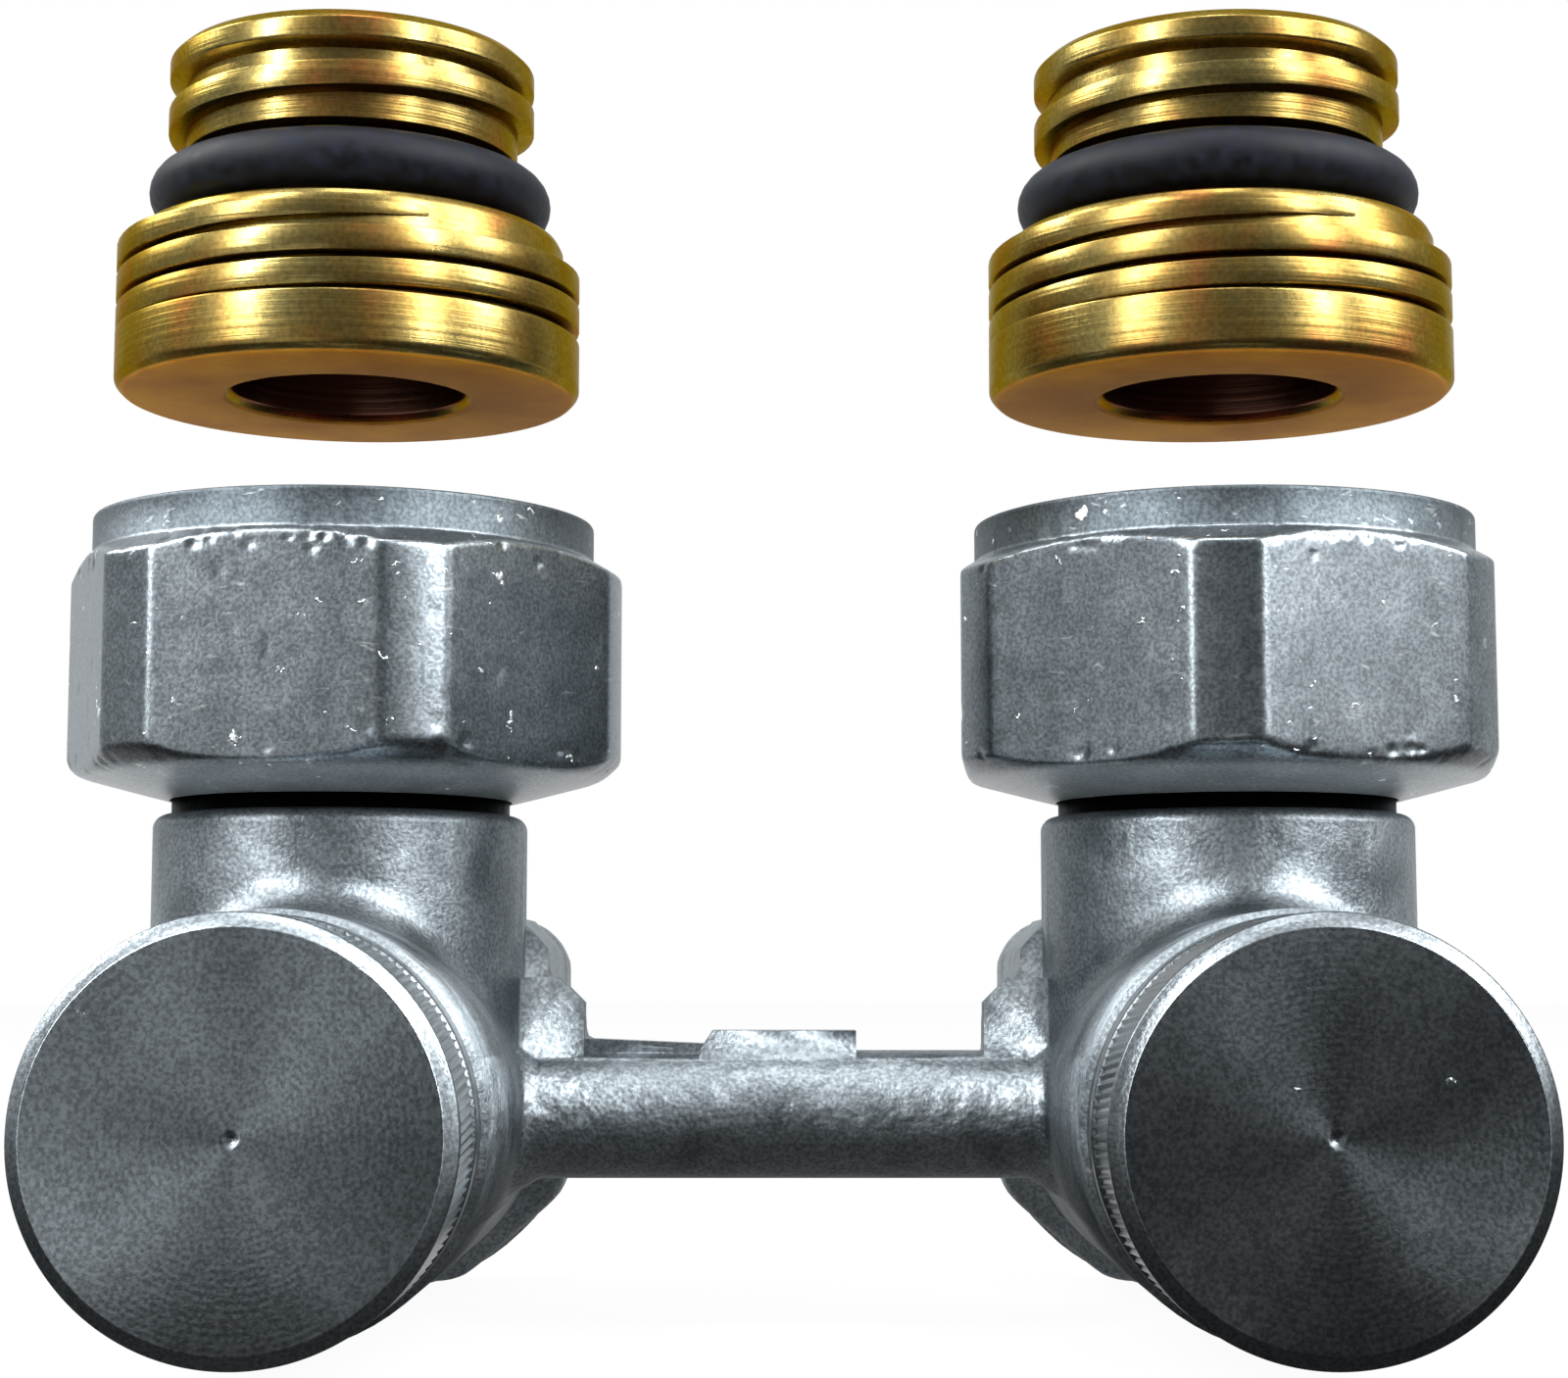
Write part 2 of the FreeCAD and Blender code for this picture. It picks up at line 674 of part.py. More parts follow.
def nipple(name, side):
    body = new_body(f"nipple_{name}")
    lead_in = size.thread_lead_in
    low = size.union_thread_length
    high = low + size.waist_length
    top = high + size.radiator_thread_length
    turned(body, f"nipple_outside_{name}", "XZ_Plane", "V_Axis", [
        (0, 0),
        (size.union_thread_radius - lead_in, 0),
        (size.union_thread_radius, lead_in),
        *thread_rings(),
        (size.union_thread_radius, low - size.nipple_shoulder),
        (size.union_thread_radius - size.nipple_shoulder, low),
        (size.waist_radius, low),
        (size.waist_radius, high),
        (size.radiator_thread_radius, high),
        (size.radiator_thread_radius, top - lead_in),
        (size.radiator_thread_radius - lead_in, top),
        (0, top),
    ])
    turned(body, f"nipple_bore_{name}", "XZ_Plane", "V_Axis", [
        (0, 0),
        (size.nipple_bore + size.nipple_mouth_cut, 0),
        (size.nipple_bore, size.nipple_mouth_cut),
        (size.nipple_bore, top - size.key_depth),
        (0, top - size.key_depth),
    ], cut=True)
    prism(body, f"nipple_key_{name}", HEX_SIDES, size.key_across_flats, size.key_depth,
          shift={"z": top - size.key_depth}, cut=True)
    stand(body, side, nipple_seat + size.nipple_lift)
    return body


def cap(name, side):
    body = new_body(f"cap_{name}")
    back = size.front_reach - size.cap_length
    bore = size.spigot_radius + size.running_fit
    turned(body, f"cap_outside_{name}", "XZ_Plane", "V_Axis", [
        (0, back),
        (size.cap_radius, back),
        (size.cap_radius, size.front_reach - size.cap_chamfer),
        (size.cap_radius - size.cap_chamfer, size.front_reach),
        (0, size.front_reach),
    ])
    turned(body, f"cap_bore_{name}", "XZ_Plane", "V_Axis", [
        (0, back),
        (bore, back),
        (bore, cap_inner),
        (0, cap_inner),
    ], cut=True)
    face_front(body, side)
    return body


def bonnet(name, side):
    body = new_body(f"bonnet_{name}")
    outer = size.bonnet_bore - size.running_fit
    stem = size.stem_radius + size.running_fit
    thread = size.spindle_thread_radius + size.running_fit
    turned(body, f"bonnet_outside_{name}", "XZ_Plane", "V_Axis", [
        (0, bonnet_rear),
        (outer, bonnet_rear),
        (outer, bonnet_step),
        (size.bonnet_flange_radius, bonnet_step),
        (size.bonnet_flange_radius, bonnet_front),
        (0, bonnet_front),
    ])
    turned(body, f"bonnet_bore_{name}", "XZ_Plane", "V_Axis", [
        (0, bonnet_rear),
        (thread, bonnet_rear),
        (thread, bonnet_thread_end),
        (stem, bonnet_thread_end),
        (stem, bonnet_front - size.bonnet_key_depth),
        (0, bonnet_front - size.bonnet_key_depth),
    ], cut=True)
    prism(body, f"bonnet_key_{name}", HEX_SIDES, size.bonnet_key, size.bonnet_key_depth,
          shift={"z": bonnet_front - size.bonnet_key_depth}, cut=True)
    groove = size.bonnet_seal_section + 2 * size.seal_fit
    start = bonnet_front - size.bonnet_seal_place
    turned(body, f"bonnet_seal_groove_{name}", "XZ_Plane", "V_Axis", [
        (outer - size.bonnet_seal_section, start - groove),
        (outer + OVERLAP, start - groove),
        (outer + OVERLAP, start),
        (outer - size.bonnet_seal_section, start),
    ], cut=True)
    groove = size.stem_seal_section + 2 * size.seal_fit
    start = bonnet_front - size.stem_seal_place
    turned(body, f"stem_seal_groove_{name}", "XZ_Plane", "V_Axis", [
        (stem - OVERLAP, start - groove),
        (stem + size.stem_seal_section + size.seal_fit, start - groove),
        (stem + size.stem_seal_section + size.seal_fit, start),
        (stem - OVERLAP, start),
    ], cut=True)
    face_front(body, side)
    return body


def spindle(name, side):
    body = new_body(f"spindle_{name}")
    turned(body, f"spindle_outside_{name}", "XZ_Plane", "V_Axis", [
        (0, -button_rear),
        (size.button_radius, -button_rear),
        (size.button_radius, size.button_length - button_rear),
        (size.spindle_neck, size.button_length - button_rear),
        (size.spindle_neck, thread_rear),
        (size.spindle_thread_radius, thread_rear),
        (size.spindle_thread_radius, thread_front),
        (size.stem_radius, thread_front),
        (size.stem_radius, stem_front),
        (0, stem_front),
    ])
    prism(body, f"stem_key_{name}", HEX_SIDES, size.stem_key, size.stem_key_depth,
          shift={"z": stem_front - size.stem_key_depth}, cut=True)
    face_front(body, side)
    return body


def valve_disc(name, side):
    body = new_body(f"valve_disc_{name}")
    rim = size.disc_seal_radius + size.seal_fit
    turned(body, f"disc_outside_{name}", "XZ_Plane", "V_Axis", [
        (0, -seal_floor),
        (rim, -seal_floor),
        (rim, -seal_floor - size.disc_rim),
        (size.disc_radius, -seal_floor - size.disc_rim),
        (size.disc_radius, -disc_back),
        (size.hub_radius, -disc_back),
        (size.hub_radius, -hub_front),
        (0, -hub_front),
    ])
    turned(body, f"disc_hub_bore_{name}", "XZ_Plane", "V_Axis", [
        (0, -disc_back),
        (size.button_radius + size.running_fit, -disc_back),
        (size.button_radius + size.running_fit, hub_cavity - disc_back),
        (size.spindle_neck + size.running_fit, hub_cavity - disc_back),
        (size.spindle_neck + size.running_fit, -hub_front),
        (0, -hub_front),
    ], cut=True)
    face_front(body, side)
    return body


def side_pieces(name, side):
    union_nut(name, side)
    snap_ring(name, side)
    gasket = washer(f"flat_gasket_{name}", size.neck_bore, size.gasket_radius,
                    as_size(0), size.gasket_thickness)
    stand(gasket, side, tail_top)
    nipple(name, side)
    seal_middle = size.waist_radius + size.seal_fit + size.nipple_ring_section / 2
    seal_height = nipple_seat + size.nipple_lift + size.union_thread_length + size.waist_length / 2
    ring(f"nipple_o_ring_{name}", seal_middle, size.nipple_ring_section, seal_height, stand, side)
    cap(name, side)
    seal = washer(f"cap_seal_{name}", size.cap_seal_bore, size.spigot_radius - size.cap_seal_gap,
                  seal_back, cap_inner)
    face_front(seal, side)
    bonnet(name, side)
    middle = size.bonnet_bore - size.running_fit - size.bonnet_seal_section / 2
    place = bonnet_front - size.bonnet_seal_place - size.bonnet_seal_section / 2 - size.seal_fit
    ring(f"bonnet_o_ring_{name}", middle, size.bonnet_seal_section - size.seal_fit, place, face_front, side)
    middle = size.stem_radius + size.running_fit + size.stem_seal_section / 2
    place = bonnet_front - size.stem_seal_place - size.stem_seal_section / 2 - size.seal_fit
    ring(f"spindle_o_ring_{name}", middle, size.stem_seal_section, place, face_front, side)
    spindle(name, side)
    valve_disc(name, side)
    pad = washer(f"disc_seal_{name}", as_size(0), size.disc_seal_radius,
                 -seal_face, -seal_floor)
    face_front(pad, side)


def check_and_write():
    """Refuse a failed object, then write one file for each piece."""
    doc.recompute()
    for item in doc.Objects:
        if "Invalid" in item.State or "Error" in item.State:
            raise RuntimeError(f"{item.Name} failed: {item.State}")
    os.makedirs("parts", exist_ok=True)
    for item in doc.Objects:
        if item.TypeId != "PartDesign::Body":
            continue
        if item.Shape.isNull() or not item.Shape.isValid():
            raise RuntimeError(f"{item.Label} has no valid shape")
        item.Shape.exportStep(f"parts/{item.Label}.step")


valve_body()
for side_name, side_sign in SIDES.items():
    side_pieces(side_name, side_sign)
check_and_write()
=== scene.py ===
import math
import random

import bmesh
import bpy
from mathutils import Matrix, Vector


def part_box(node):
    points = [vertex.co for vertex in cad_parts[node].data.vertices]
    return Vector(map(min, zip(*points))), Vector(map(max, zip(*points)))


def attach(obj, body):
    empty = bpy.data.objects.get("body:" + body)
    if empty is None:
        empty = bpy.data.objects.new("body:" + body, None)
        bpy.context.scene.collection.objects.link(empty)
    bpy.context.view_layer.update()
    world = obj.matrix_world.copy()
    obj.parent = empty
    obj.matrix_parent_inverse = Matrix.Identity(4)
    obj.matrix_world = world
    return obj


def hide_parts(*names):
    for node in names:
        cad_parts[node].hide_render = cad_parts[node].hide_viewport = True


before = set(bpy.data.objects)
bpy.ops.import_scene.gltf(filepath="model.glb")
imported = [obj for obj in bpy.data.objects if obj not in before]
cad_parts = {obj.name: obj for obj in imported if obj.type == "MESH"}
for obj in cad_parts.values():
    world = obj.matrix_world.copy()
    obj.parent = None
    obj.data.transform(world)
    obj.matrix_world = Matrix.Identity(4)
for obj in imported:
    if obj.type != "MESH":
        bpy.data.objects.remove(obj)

MM = 0.001
TURN = 2 * math.pi
SIDES = ("left", "right")
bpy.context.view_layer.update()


def middle(node):
    """The middle of a CAD node's box."""
    low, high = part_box(node)
    return (Vector(low) + Vector(high)) / 2


NECK = {side: middle(f"nipple_{side}") for side in SIDES}
SPINDLE = {side: middle(f"cap_{side}") for side in SIDES}
AXIS_HEIGHT = SPINDLE["left"].z
NIPPLE_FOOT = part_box("nipple_left")[0][2]
NUT_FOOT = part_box("union_nut_left")[0][2]

# How far each nut is turned at rest, in degrees, and the seed of its knocks.
NUT_TURN = {"left": -38.0, "right": -67.9}
NUT_SEED = {"left": 3, "right": 8}

# Edges sharper than this, in degrees, stay sharp. The knocked nuts are drawn softer.
CREASE = 32
SOFT_CREASE = 55

G_PITCH = 1.814  # of G 1/2 and G 3/4, in mm


def upright(side, height):
    """Places a piece, turned about its own +Z, on a neck axis."""
    spot = NECK[side]
    return Matrix.Translation((spot.x, spot.y, height))


def facing_front(side):
    """Places a piece on a spindle axis, its +Z to the front, measured from the neck axis."""
    place = Matrix.Translation((SPINDLE[side].x, NECK[side].y, SPINDLE[side].z))
    return place @ Matrix.Rotation(math.radians(90), 4, "X")


# Nodes and colours


def linear(colour):
    """An sRGB hex colour as linear red, green, blue and alpha."""
    values = []
    for start in (1, 3, 5):
        part = int(colour[start:start + 2], 16) / 255
        values.append(part / 12.92 if part <= 0.04045 else ((part + 0.055) / 1.055) ** 2.4)
    return (*values, 1.0)


def add(tree, kind, links=None, **settings):
    """A node with its settings and the sockets that feed it."""
    node = tree.nodes.new(kind)
    for name, value in settings.items():
        if name in node.bl_rna.properties:
            setattr(node, name, value)
        else:
            node.inputs[name.replace("_", " ")].default_value = value
    for name, source in (links or {}).items():
        tree.links.new(source, node.inputs[name])
    return node


def is_socket(value):
    """Whether a value comes out of a node, and so is linked and not set."""
    return isinstance(value, bpy.types.NodeSocket)


def new_material(name):
    """An empty material, its node tree and the object coordinates that its textures lie on."""
    material = bpy.data.materials.new(name)
    material.use_nodes = True
    tree = material.node_tree
    tree.nodes.clear()
    return material, tree, add(tree, "ShaderNodeTexCoord").outputs["Object"]


def per_mm(length):
    """Texture scale for a feature this long in millimetres, on coordinates in metres."""
    return 1 / (length * MM)


def split(tree, place):
    """X, Y and Z of a place, by name."""
    return add(tree, "ShaderNodeSeparateXYZ", {"Vector": place}).outputs


def maths(tree, operation, first, second=None):
    """A sum on one or two values; the second is a socket or a number."""
    node = add(tree, "ShaderNodeMath", {0: first}, operation=operation)
    if is_socket(second):
        tree.links.new(second, node.inputs[1])
    elif second is not None:
        node.inputs[1].default_value = second
    return node.outputs[0]


def mapped(tree, value, low, high, at_low=0.0, at_high=1.0):
    """A value drawn from one range onto another and held at its ends."""
    node = add(tree, "ShaderNodeMapRange", {"Value": value}, From_Min=low, From_Max=high, To_Min=at_low,
               To_Max=at_high)
    return node.outputs["Result"]


def mask_between(tree, value, low, high, soft):
    """1 where a length lies between two others, fading over a soft margin; all in metres."""
    rise = mapped(tree, value, low - soft, low + soft)
    fall = mapped(tree, value, high - soft, high + soft, 1.0, 0.0)
    return maths(tree, "MULTIPLY", rise, fall)


def noise(tree, place, size, detail=2.0, **more):
    """Smooth random values whose features are about this many millimetres long."""
    node = add(tree, "ShaderNodeTexNoise", {"Vector": place}, Scale=per_mm(size), Detail=detail, **more)
    return node.outputs["Fac"]


def ramp(tree, source, stops):
    """A colour ramp; each stop is a place and a grey value or an sRGB hex colour."""
    node = add(tree, "ShaderNodeValToRGB", {"Fac": source})
    elements = node.color_ramp.elements
    while len(elements) < len(stops):
        elements.new(0.5)
    for element, (place, value) in zip(elements, stops):
        element.position = place
        element.color = linear(value) if isinstance(value, str) else (value, value, value, 1.0)
    return node.outputs["Color"]


def blended(tree, share, first, second, kind="MIX"):
    """Two colours mixed by a share, a socket or a number. The second is a socket or an sRGB hex colour."""
    node = add(tree, "ShaderNodeMix", {"A": first}, data_type="RGBA", blend_type=kind)
    if is_socket(share):
        tree.links.new(share, node.inputs["Factor"])
    else:
        node.inputs["Factor"].default_value = share
    if is_socket(second):
        tree.links.new(second, node.inputs["B"])
    else:
        node.inputs["B"].default_value = linear(second)
    return node.outputs["Result"]


def roughened(tree, share, satin, matt):
    """A gloss that gives way to one matt value where the share is 1."""
    return add(tree, "ShaderNodeMix", {"Factor": share, "A": satin}, B=matt).outputs["Result"]


def speckled(tree, base, grain):
    """A plated colour with fine dark specks, as a sharp picture of blasted metal shows them."""
    return blended(tree, 1.0, base, ramp(tree, grain, [(0.36, 0.55), (0.64, 1.0)]), "MULTIPLY")


def bump(tree, height, strength, depth, under=None):
    """Relief of this depth in millimetres over any relief under it; strength is a socket or a number."""
    node = add(tree, "ShaderNodeBump", {"Height": height}, Distance=depth * MM)
    if is_socket(strength):
        tree.links.new(strength, node.inputs["Strength"])
    else:
        node.inputs["Strength"].default_value = strength
    if under is not None:
        tree.links.new(under, node.inputs["Normal"])
    return node.outputs["Normal"]


def close_shader(tree, **sockets):
    """The surface shader and the output that end every material."""
    linked = {}
    uniform = {}
    for name, value in sockets.items():
        if is_socket(value):
            linked[name.replace("_", " ")] = value
        else:
            uniform[name] = value
    shader = add(tree, "ShaderNodeBsdfPrincipled", linked, **uniform)
    add(tree, "ShaderNodeOutputMaterial", {"Surface": shader.outputs["BSDF"]})


def from_neck_axis(tree, parts):
    """How far a place lies from the nearer neck axis, in metres."""
    across = maths(tree, "ABSOLUTE", parts["X"])
    aside = maths(tree, "SUBTRACT", across, NECK["right"].x)
    along = maths(tree, "SUBTRACT", parts["Y"], NECK["right"].y)
    flat_spot = add(tree, "ShaderNodeCombineXYZ", {"X": aside, "Y": along}).outputs[0]
    return add(tree, "ShaderNodeVectorMath", {0: flat_spot}, operation="LENGTH").outputs["Value"]


def nicks(tree, place, spacing, size, share, stretch=1.0):
    """Sparse ragged dents: up to 1 in a dent, fainter at its edge, and 0 around it. Spacing and size are
    in millimetres, and share says how many of the places hold a dent."""
    bend = add(tree, "ShaderNodeTexNoise", {"Vector": place}, Scale=per_mm(0.6), Detail=2.0)
    shift = add(tree, "ShaderNodeVectorMath", {0: bend.outputs["Color"]}, operation="SCALE", Scale=1.2 * MM)
    bent = add(tree, "ShaderNodeVectorMath", {0: place, 1: shift.outputs[0]}, operation="ADD")
    longer = add(tree, "ShaderNodeMapping", {"Vector": bent.outputs[0]})
    longer.inputs["Rotation"].default_value = (0.0, 0.5, 0.0)
    longer.inputs["Scale"].default_value = (1.0, 1.0, stretch)
    cells = add(tree, "ShaderNodeTexVoronoi", {"Vector": longer.outputs[0]}, Scale=per_mm(spacing)).outputs
    inside = mapped(tree, cells["Distance"], 0.4 * size / spacing, size / spacing, 1.0, 0.0)
    few = mapped(tree, cells["Color"], 0.6 * share, share, 1.0, 0.0)
    return maths(tree, "MULTIPLY", inside, few)


# Materials


def forged_nickel():
    """Nickel plate over a brass forging: the skin keeps the soft ripple of the die and a fine blasted
    grain, so that reflections come out cloudy. The bar is rougher. The turned spigots in the gaps
    under the nuts are painted near black, as painted shade."""
    material, tree, place = new_material("nickel_plated_forging")
    cloud = noise(tree, place, 4.5, Roughness=0.5)
    grain = noise(tree, place, 0.22)
    mottle = noise(tree, place, 1.2)
    parts = split(tree, place)
    across = maths(tree, "ABSOLUTE", parts["X"])
    between_necks = mapped(tree, across, 13.0 * MM, 15.5 * MM, 1.0, 0.1)
    below_pad = mapped(tree, parts["Z"], 15.2 * MM, 15.8 * MM, 1.0, 0.1)
    on_bar = maths(tree, "MULTIPLY", between_necks, below_pad)
    on_spigot = mask_between(tree, from_neck_axis(tree, parts), 6.0 * MM, 9.75 * MM, 0.05 * MM)
    in_gap = mask_between(tree, parts["Z"], NUT_FOOT - 0.85 * MM, NUT_FOOT + 3.2 * MM, 0.05 * MM)
    # The turned spigots in the gap under each nut are painted near black: painted shade where the nut hangs
    # over them.
    painted_gap_shade = maths(tree, "MULTIPLY", on_spigot, in_gap)
    plate = ramp(tree, cloud, [(0.3, "#70787d"), (0.55, "#8a9297"), (0.75, "#767e83")])
    colour = blended(tree, painted_gap_shade, speckled(tree, plate, grain), "#16191b")
    rough = ramp(tree, cloud, [(0.30, 0.38), (0.72, 0.52)])
    skin = bump(tree, grain, 0.6, 0.045)
    ripple = bump(tree, cloud, 0.6, 0.45, skin)
    dents = bump(tree, mottle, on_bar, 0.15, ripple)
    close_shader(tree, Base_Color=colour, Roughness=rough, Normal=dents, Metallic=1.0)
    return material


def nut_nickel():
    """Nickel plate on a milled union nut, satin from tumbling with other nuts, so that its flats
    carry bright dings and short scratches. The turned collar is duller, and dust greys the underside."""
    material, tree, place = new_material("nickel_plated_nut")
    cloud = noise(tree, place, 2.2, 5.0, Roughness=0.65)
    grain = noise(tree, place, 0.2)
    dings = maths(tree, "MAXIMUM", nicks(tree, place, 3.2, 0.34, 0.5), nicks(tree, place, 1.7, 0.22, 0.5, 1.9))
    level = add(tree, "ShaderNodeMapping", {"Vector": place})
    level.inputs["Rotation"].default_value = (0.3, 0.25, 0.4)
    level.inputs["Scale"].default_value = (0.6, 0.6, 1.6)
    scratches = noise(tree, level.outputs["Vector"], 0.9, 3.0, Distortion=0.8)
    worn = maths(tree, "MAXIMUM", dings, ramp(tree, scratches, [(0.66, 0.0), (0.76, 0.3)]))
    height = split(tree, place)["Z"]
    on_collar = mask_between(tree, height, NUT_FOOT + 13.75 * MM, NUT_FOOT + 17 * MM, 0.08 * MM)
    under = mask_between(tree, height, NUT_FOOT - 1 * MM, NUT_FOOT + 1.3 * MM, 0.2 * MM)
    rough = roughened(tree, on_collar, ramp(tree, cloud, [(0.3, 0.28), (0.7, 0.32)]), 0.5)
    metal = mapped(tree, under, 0.0, 1.0, 1.0, 0.45)
    plate = speckled(tree, ramp(tree, cloud, [(0.3, "#757d82"), (0.7, "#8b9398")]), grain)
    greyer = blended(tree, on_collar, plate, "#a6aaac", "MULTIPLY")
    colour = blended(tree, worn, greyer, "#f2f5f6")
    dented = bump(tree, dings, 0.8, 0.09, bump(tree, grain, 0.25, 0.03))
    close_shader(tree, Base_Color=colour, Roughness=rough, Normal=dented, Metallic=metal)
    return material


def turned_nickel(name, centre, colour_low, colour_high):
    """Nickel plate over a faced cap: the facing tool leaves fine rings, which spread a lamp into
    a streak that runs out from the middle."""
    material, tree, place = new_material(name)
    centred = add(tree, "ShaderNodeMapping", {"Vector": place})
    centred.inputs["Location"].default_value = (-centre.x, 0, -centre.z)
    # The real feed is about 0.1 mm a turn, drawn at 0.35 mm so that it shows.
    rings = add(tree, "ShaderNodeTexWave", {"Vector": centred.outputs["Vector"]}, wave_type="RINGS",
                rings_direction="Y", Scale=TURN / 20 * per_mm(0.35), Distortion=0.8, Detail=2.0)
    cloud = noise(tree, place, 3.5, 5.0)
    grain = noise(tree, place, 0.2)
    dings = nicks(tree, place, 3.4, 0.24, 0.5)
    plate = speckled(tree, ramp(tree, cloud, [(0.3, colour_low), (0.7, colour_high)]), grain)
    colour = blended(tree, dings, plate, "#c6cbce")
    rough = ramp(tree, cloud, [(0.3, 0.29), (0.7, 0.33)])
    skin = bump(tree, grain, 0.4, 0.03)
    grooves = bump(tree, rings.outputs["Fac"], 0.2, 0.01, skin)
    dented = bump(tree, dings, 0.8, 0.08, grooves)
    around = add(tree, "ShaderNodeTangent", direction_type="RADIAL", axis="Y")
    close_shader(tree, Base_Color=colour, Roughness=rough, Normal=dented, Tangent=around.outputs["Tangent"],
                 Metallic=1.0, Anisotropic=0.7)
    return material


def raw_brass():
    """Turned brass with no plate: the tool leaves fine rings, handling leaves orange stains and an
    ochre skin, the foot is matt, and the bore is painted dark purple-brown, as painted shade."""
    material, tree, place = new_material("turned_raw_brass")
    stain = noise(tree, place, 6.0, 5.0, Roughness=0.6)
    grain = noise(tree, place, 0.25, 3.0)
    parts = split(tree, place)
    near_axis = mask_between(tree, from_neck_axis(tree, parts), -1.0 * MM, 6.75 * MM, 0.1 * MM)
    below_end = mask_between(tree, parts["Z"], NIPPLE_FOOT - 1.0 * MM, NIPPLE_FOOT + 19.6 * MM, 0.1 * MM)
    # Inside the bore, up to just below its top, the colour is painted shade.
    painted_bore_shade = maths(tree, "MULTIPLY", near_axis, below_end)
    at_foot = mask_between(tree, parts["Z"], NIPPLE_FOOT - 1.0 * MM, NIPPLE_FOOT + 0.15 * MM, 0.05 * MM)
    # The real feed is about 0.08 mm, drawn at 0.3 mm so that it shows.
    rows = add(tree, "ShaderNodeCombineXYZ", {"Z": parts["Z"]})
    lines = noise(tree, rows.outputs["Vector"], 0.3)
    tint = ramp(tree, stain, [(0.34, "#90824f"), (0.54, "#866e39"), (0.70, "#925c33")])
    dusty = blended(tree, 1.0, tint, ramp(tree, grain, [(0.3, 0.62), (0.7, 1.0)]), "MULTIPLY")
    ochre = ramp(tree, stain, [(0.36, "#a5741f"), (0.62, "#8f5c1a")])
    # The bore's dark purple-brown is painted shade.
    colour = blended(tree, painted_bore_shade, blended(tree, at_foot, dusty, ochre), "#6b4a3c")
    metal = mapped(tree, at_foot, 0.0, 1.0, 1.0, 0.55)
    rough = roughened(tree, at_foot, ramp(tree, stain, [(0.35, 0.25), (0.65, 0.33)]), 0.62)
    turned_lines = bump(tree, lines, 0.6, 0.05, bump(tree, grain, 0.08, 0.03))
    close_shader(tree, Base_Color=colour, Roughness=rough, Normal=turned_lines, Metallic=metal,
                 Specular_Tint=linear("#dcc898"))
    return material


def plain_metal(name, low, high, roughness):
    """An inner metal part straight from the lathe, a little uneven in colour and gloss."""
    material, tree, place = new_material(name)
    cloud = noise(tree, place, 2.0, 4.0)
    colour = ramp(tree, cloud, [(0.35, low), (0.65, high)])
    rough = ramp(tree, cloud, [(0.3, roughness - 0.06), (0.7, roughness + 0.08)])
    close_shader(tree, Base_Color=colour, Roughness=rough, Normal=bump(tree, cloud, 0.2, 0.05), Metallic=1.0)
    return material


def moulded_rubber():
    """Black EPDM rubber, moulded: near black with a soft bluish sheen and a dusty grain."""
    material, tree, place = new_material("moulded_epdm_rubber")
    dust = noise(tree, place, 0.8, 5.0)
    colour = ramp(tree, dust, [(0.35, "#040509"), (0.7, "#0b101b")])
    rough = ramp(tree, dust, [(0.3, 0.5), (0.7, 0.64)])
    close_shader(tree, Base_Color=colour, Roughness=rough, Normal=bump(tree, dust, 0.2, 0.04), IOR=1.5,
                 Specular_IOR_Level=0.14)
    return material


def pressed_fibre():
    """Vulcanised fibre: pressed paper, dull red-brown with short flecks."""
    material, tree, place = new_material("pressed_fibre")
    fleck = noise(tree, place, 0.5, 6.0, Roughness=0.7)
    colour = ramp(tree, fleck, [(0.35, "#5e231b"), (0.65, "#8a3c2c")])
    close_shader(tree, Base_Color=colour, Normal=bump(tree, fleck, 0.4, 0.05), Roughness=0.75)
    return material


# Shapes


def eased(points):
    """A profile whose corners are rounded; each point is radius, height and rounding in mm."""
    spots = [Vector((point[0], point[1])) for point in points]
    eases = [point[2] if len(point) > 2 else 0.0 for point in points]
    outline = []
    for index, (spot, ease) in enumerate(zip(spots, eases)):
        if not ease:
            outline.append(spot)
            continue
        # Two roundings on one side never meet.
        before = spots[index - 1] - spot
        after = spots[(index + 1) % len(spots)] - spot
        start = spot + before.normalized() * min(ease, before.length * 0.45)
        end = spot + after.normalized() * min(ease, after.length * 0.45)
        for step in range(4):
            t = step / 3
            outline.append(start * (1 - t) ** 2 + spot * 2 * t * (1 - t) + end * t ** 2)
    return outline


def turned(points, steps=128, shape=None, crease=CREASE):
    """A profile in mm turned about Z. It is closed on itself, or it starts and ends on the axis.
    shape may change the radius at a height and an angle, for a hexagon."""
    outline = eased(points)
    bm = bmesh.new()
    columns = []
    for step in range(steps):
        angle = TURN * step / steps
        column = []
        for number, (radius, height) in enumerate(outline):
            if radius < 1e-6 and columns:
                column.append(columns[0][number])
                continue
            out = shape(radius, height, angle) if shape else radius
            spot = (out * math.cos(angle) * MM, out * math.sin(angle) * MM, height * MM)
            column.append(bm.verts.new(spot))
        columns.append(column)
    rows = len(outline)
    from_axis = outline[0].x < 1e-6
    for step in range(steps):
        here, there = columns[step], columns[(step + 1) % steps]
        for row in range(rows - 1 if from_axis else rows):
            following = (row + 1) % rows
            corners = [here[row], there[row], there[following], here[following]]
            bm.faces.new(list(dict.fromkeys(corners)))
    return settled(bm, crease)


def settled(bm, crease=CREASE):
    """The mesh of a closed shape, its faces pointing out and its gentle edges smooth."""
    bmesh.ops.remove_doubles(bm, verts=bm.verts, dist=1e-8)
    bmesh.ops.recalc_face_normals(bm, faces=bm.faces)
    mesh = bpy.data.meshes.new("shape")
    bm.to_mesh(mesh)
    bm.free()
    mesh.shade_smooth()
    mesh.set_sharp_from_angle(angle=math.radians(crease))
    return mesh


def joined(*meshes):
    """Several closed meshes as one, each keeping its own sharp edges."""
    bm = bmesh.new()
    for mesh in meshes:
        bm.from_mesh(mesh)
    mesh = bpy.data.meshes.new("shape")
    bm.to_mesh(mesh)
    bm.free()
    return mesh


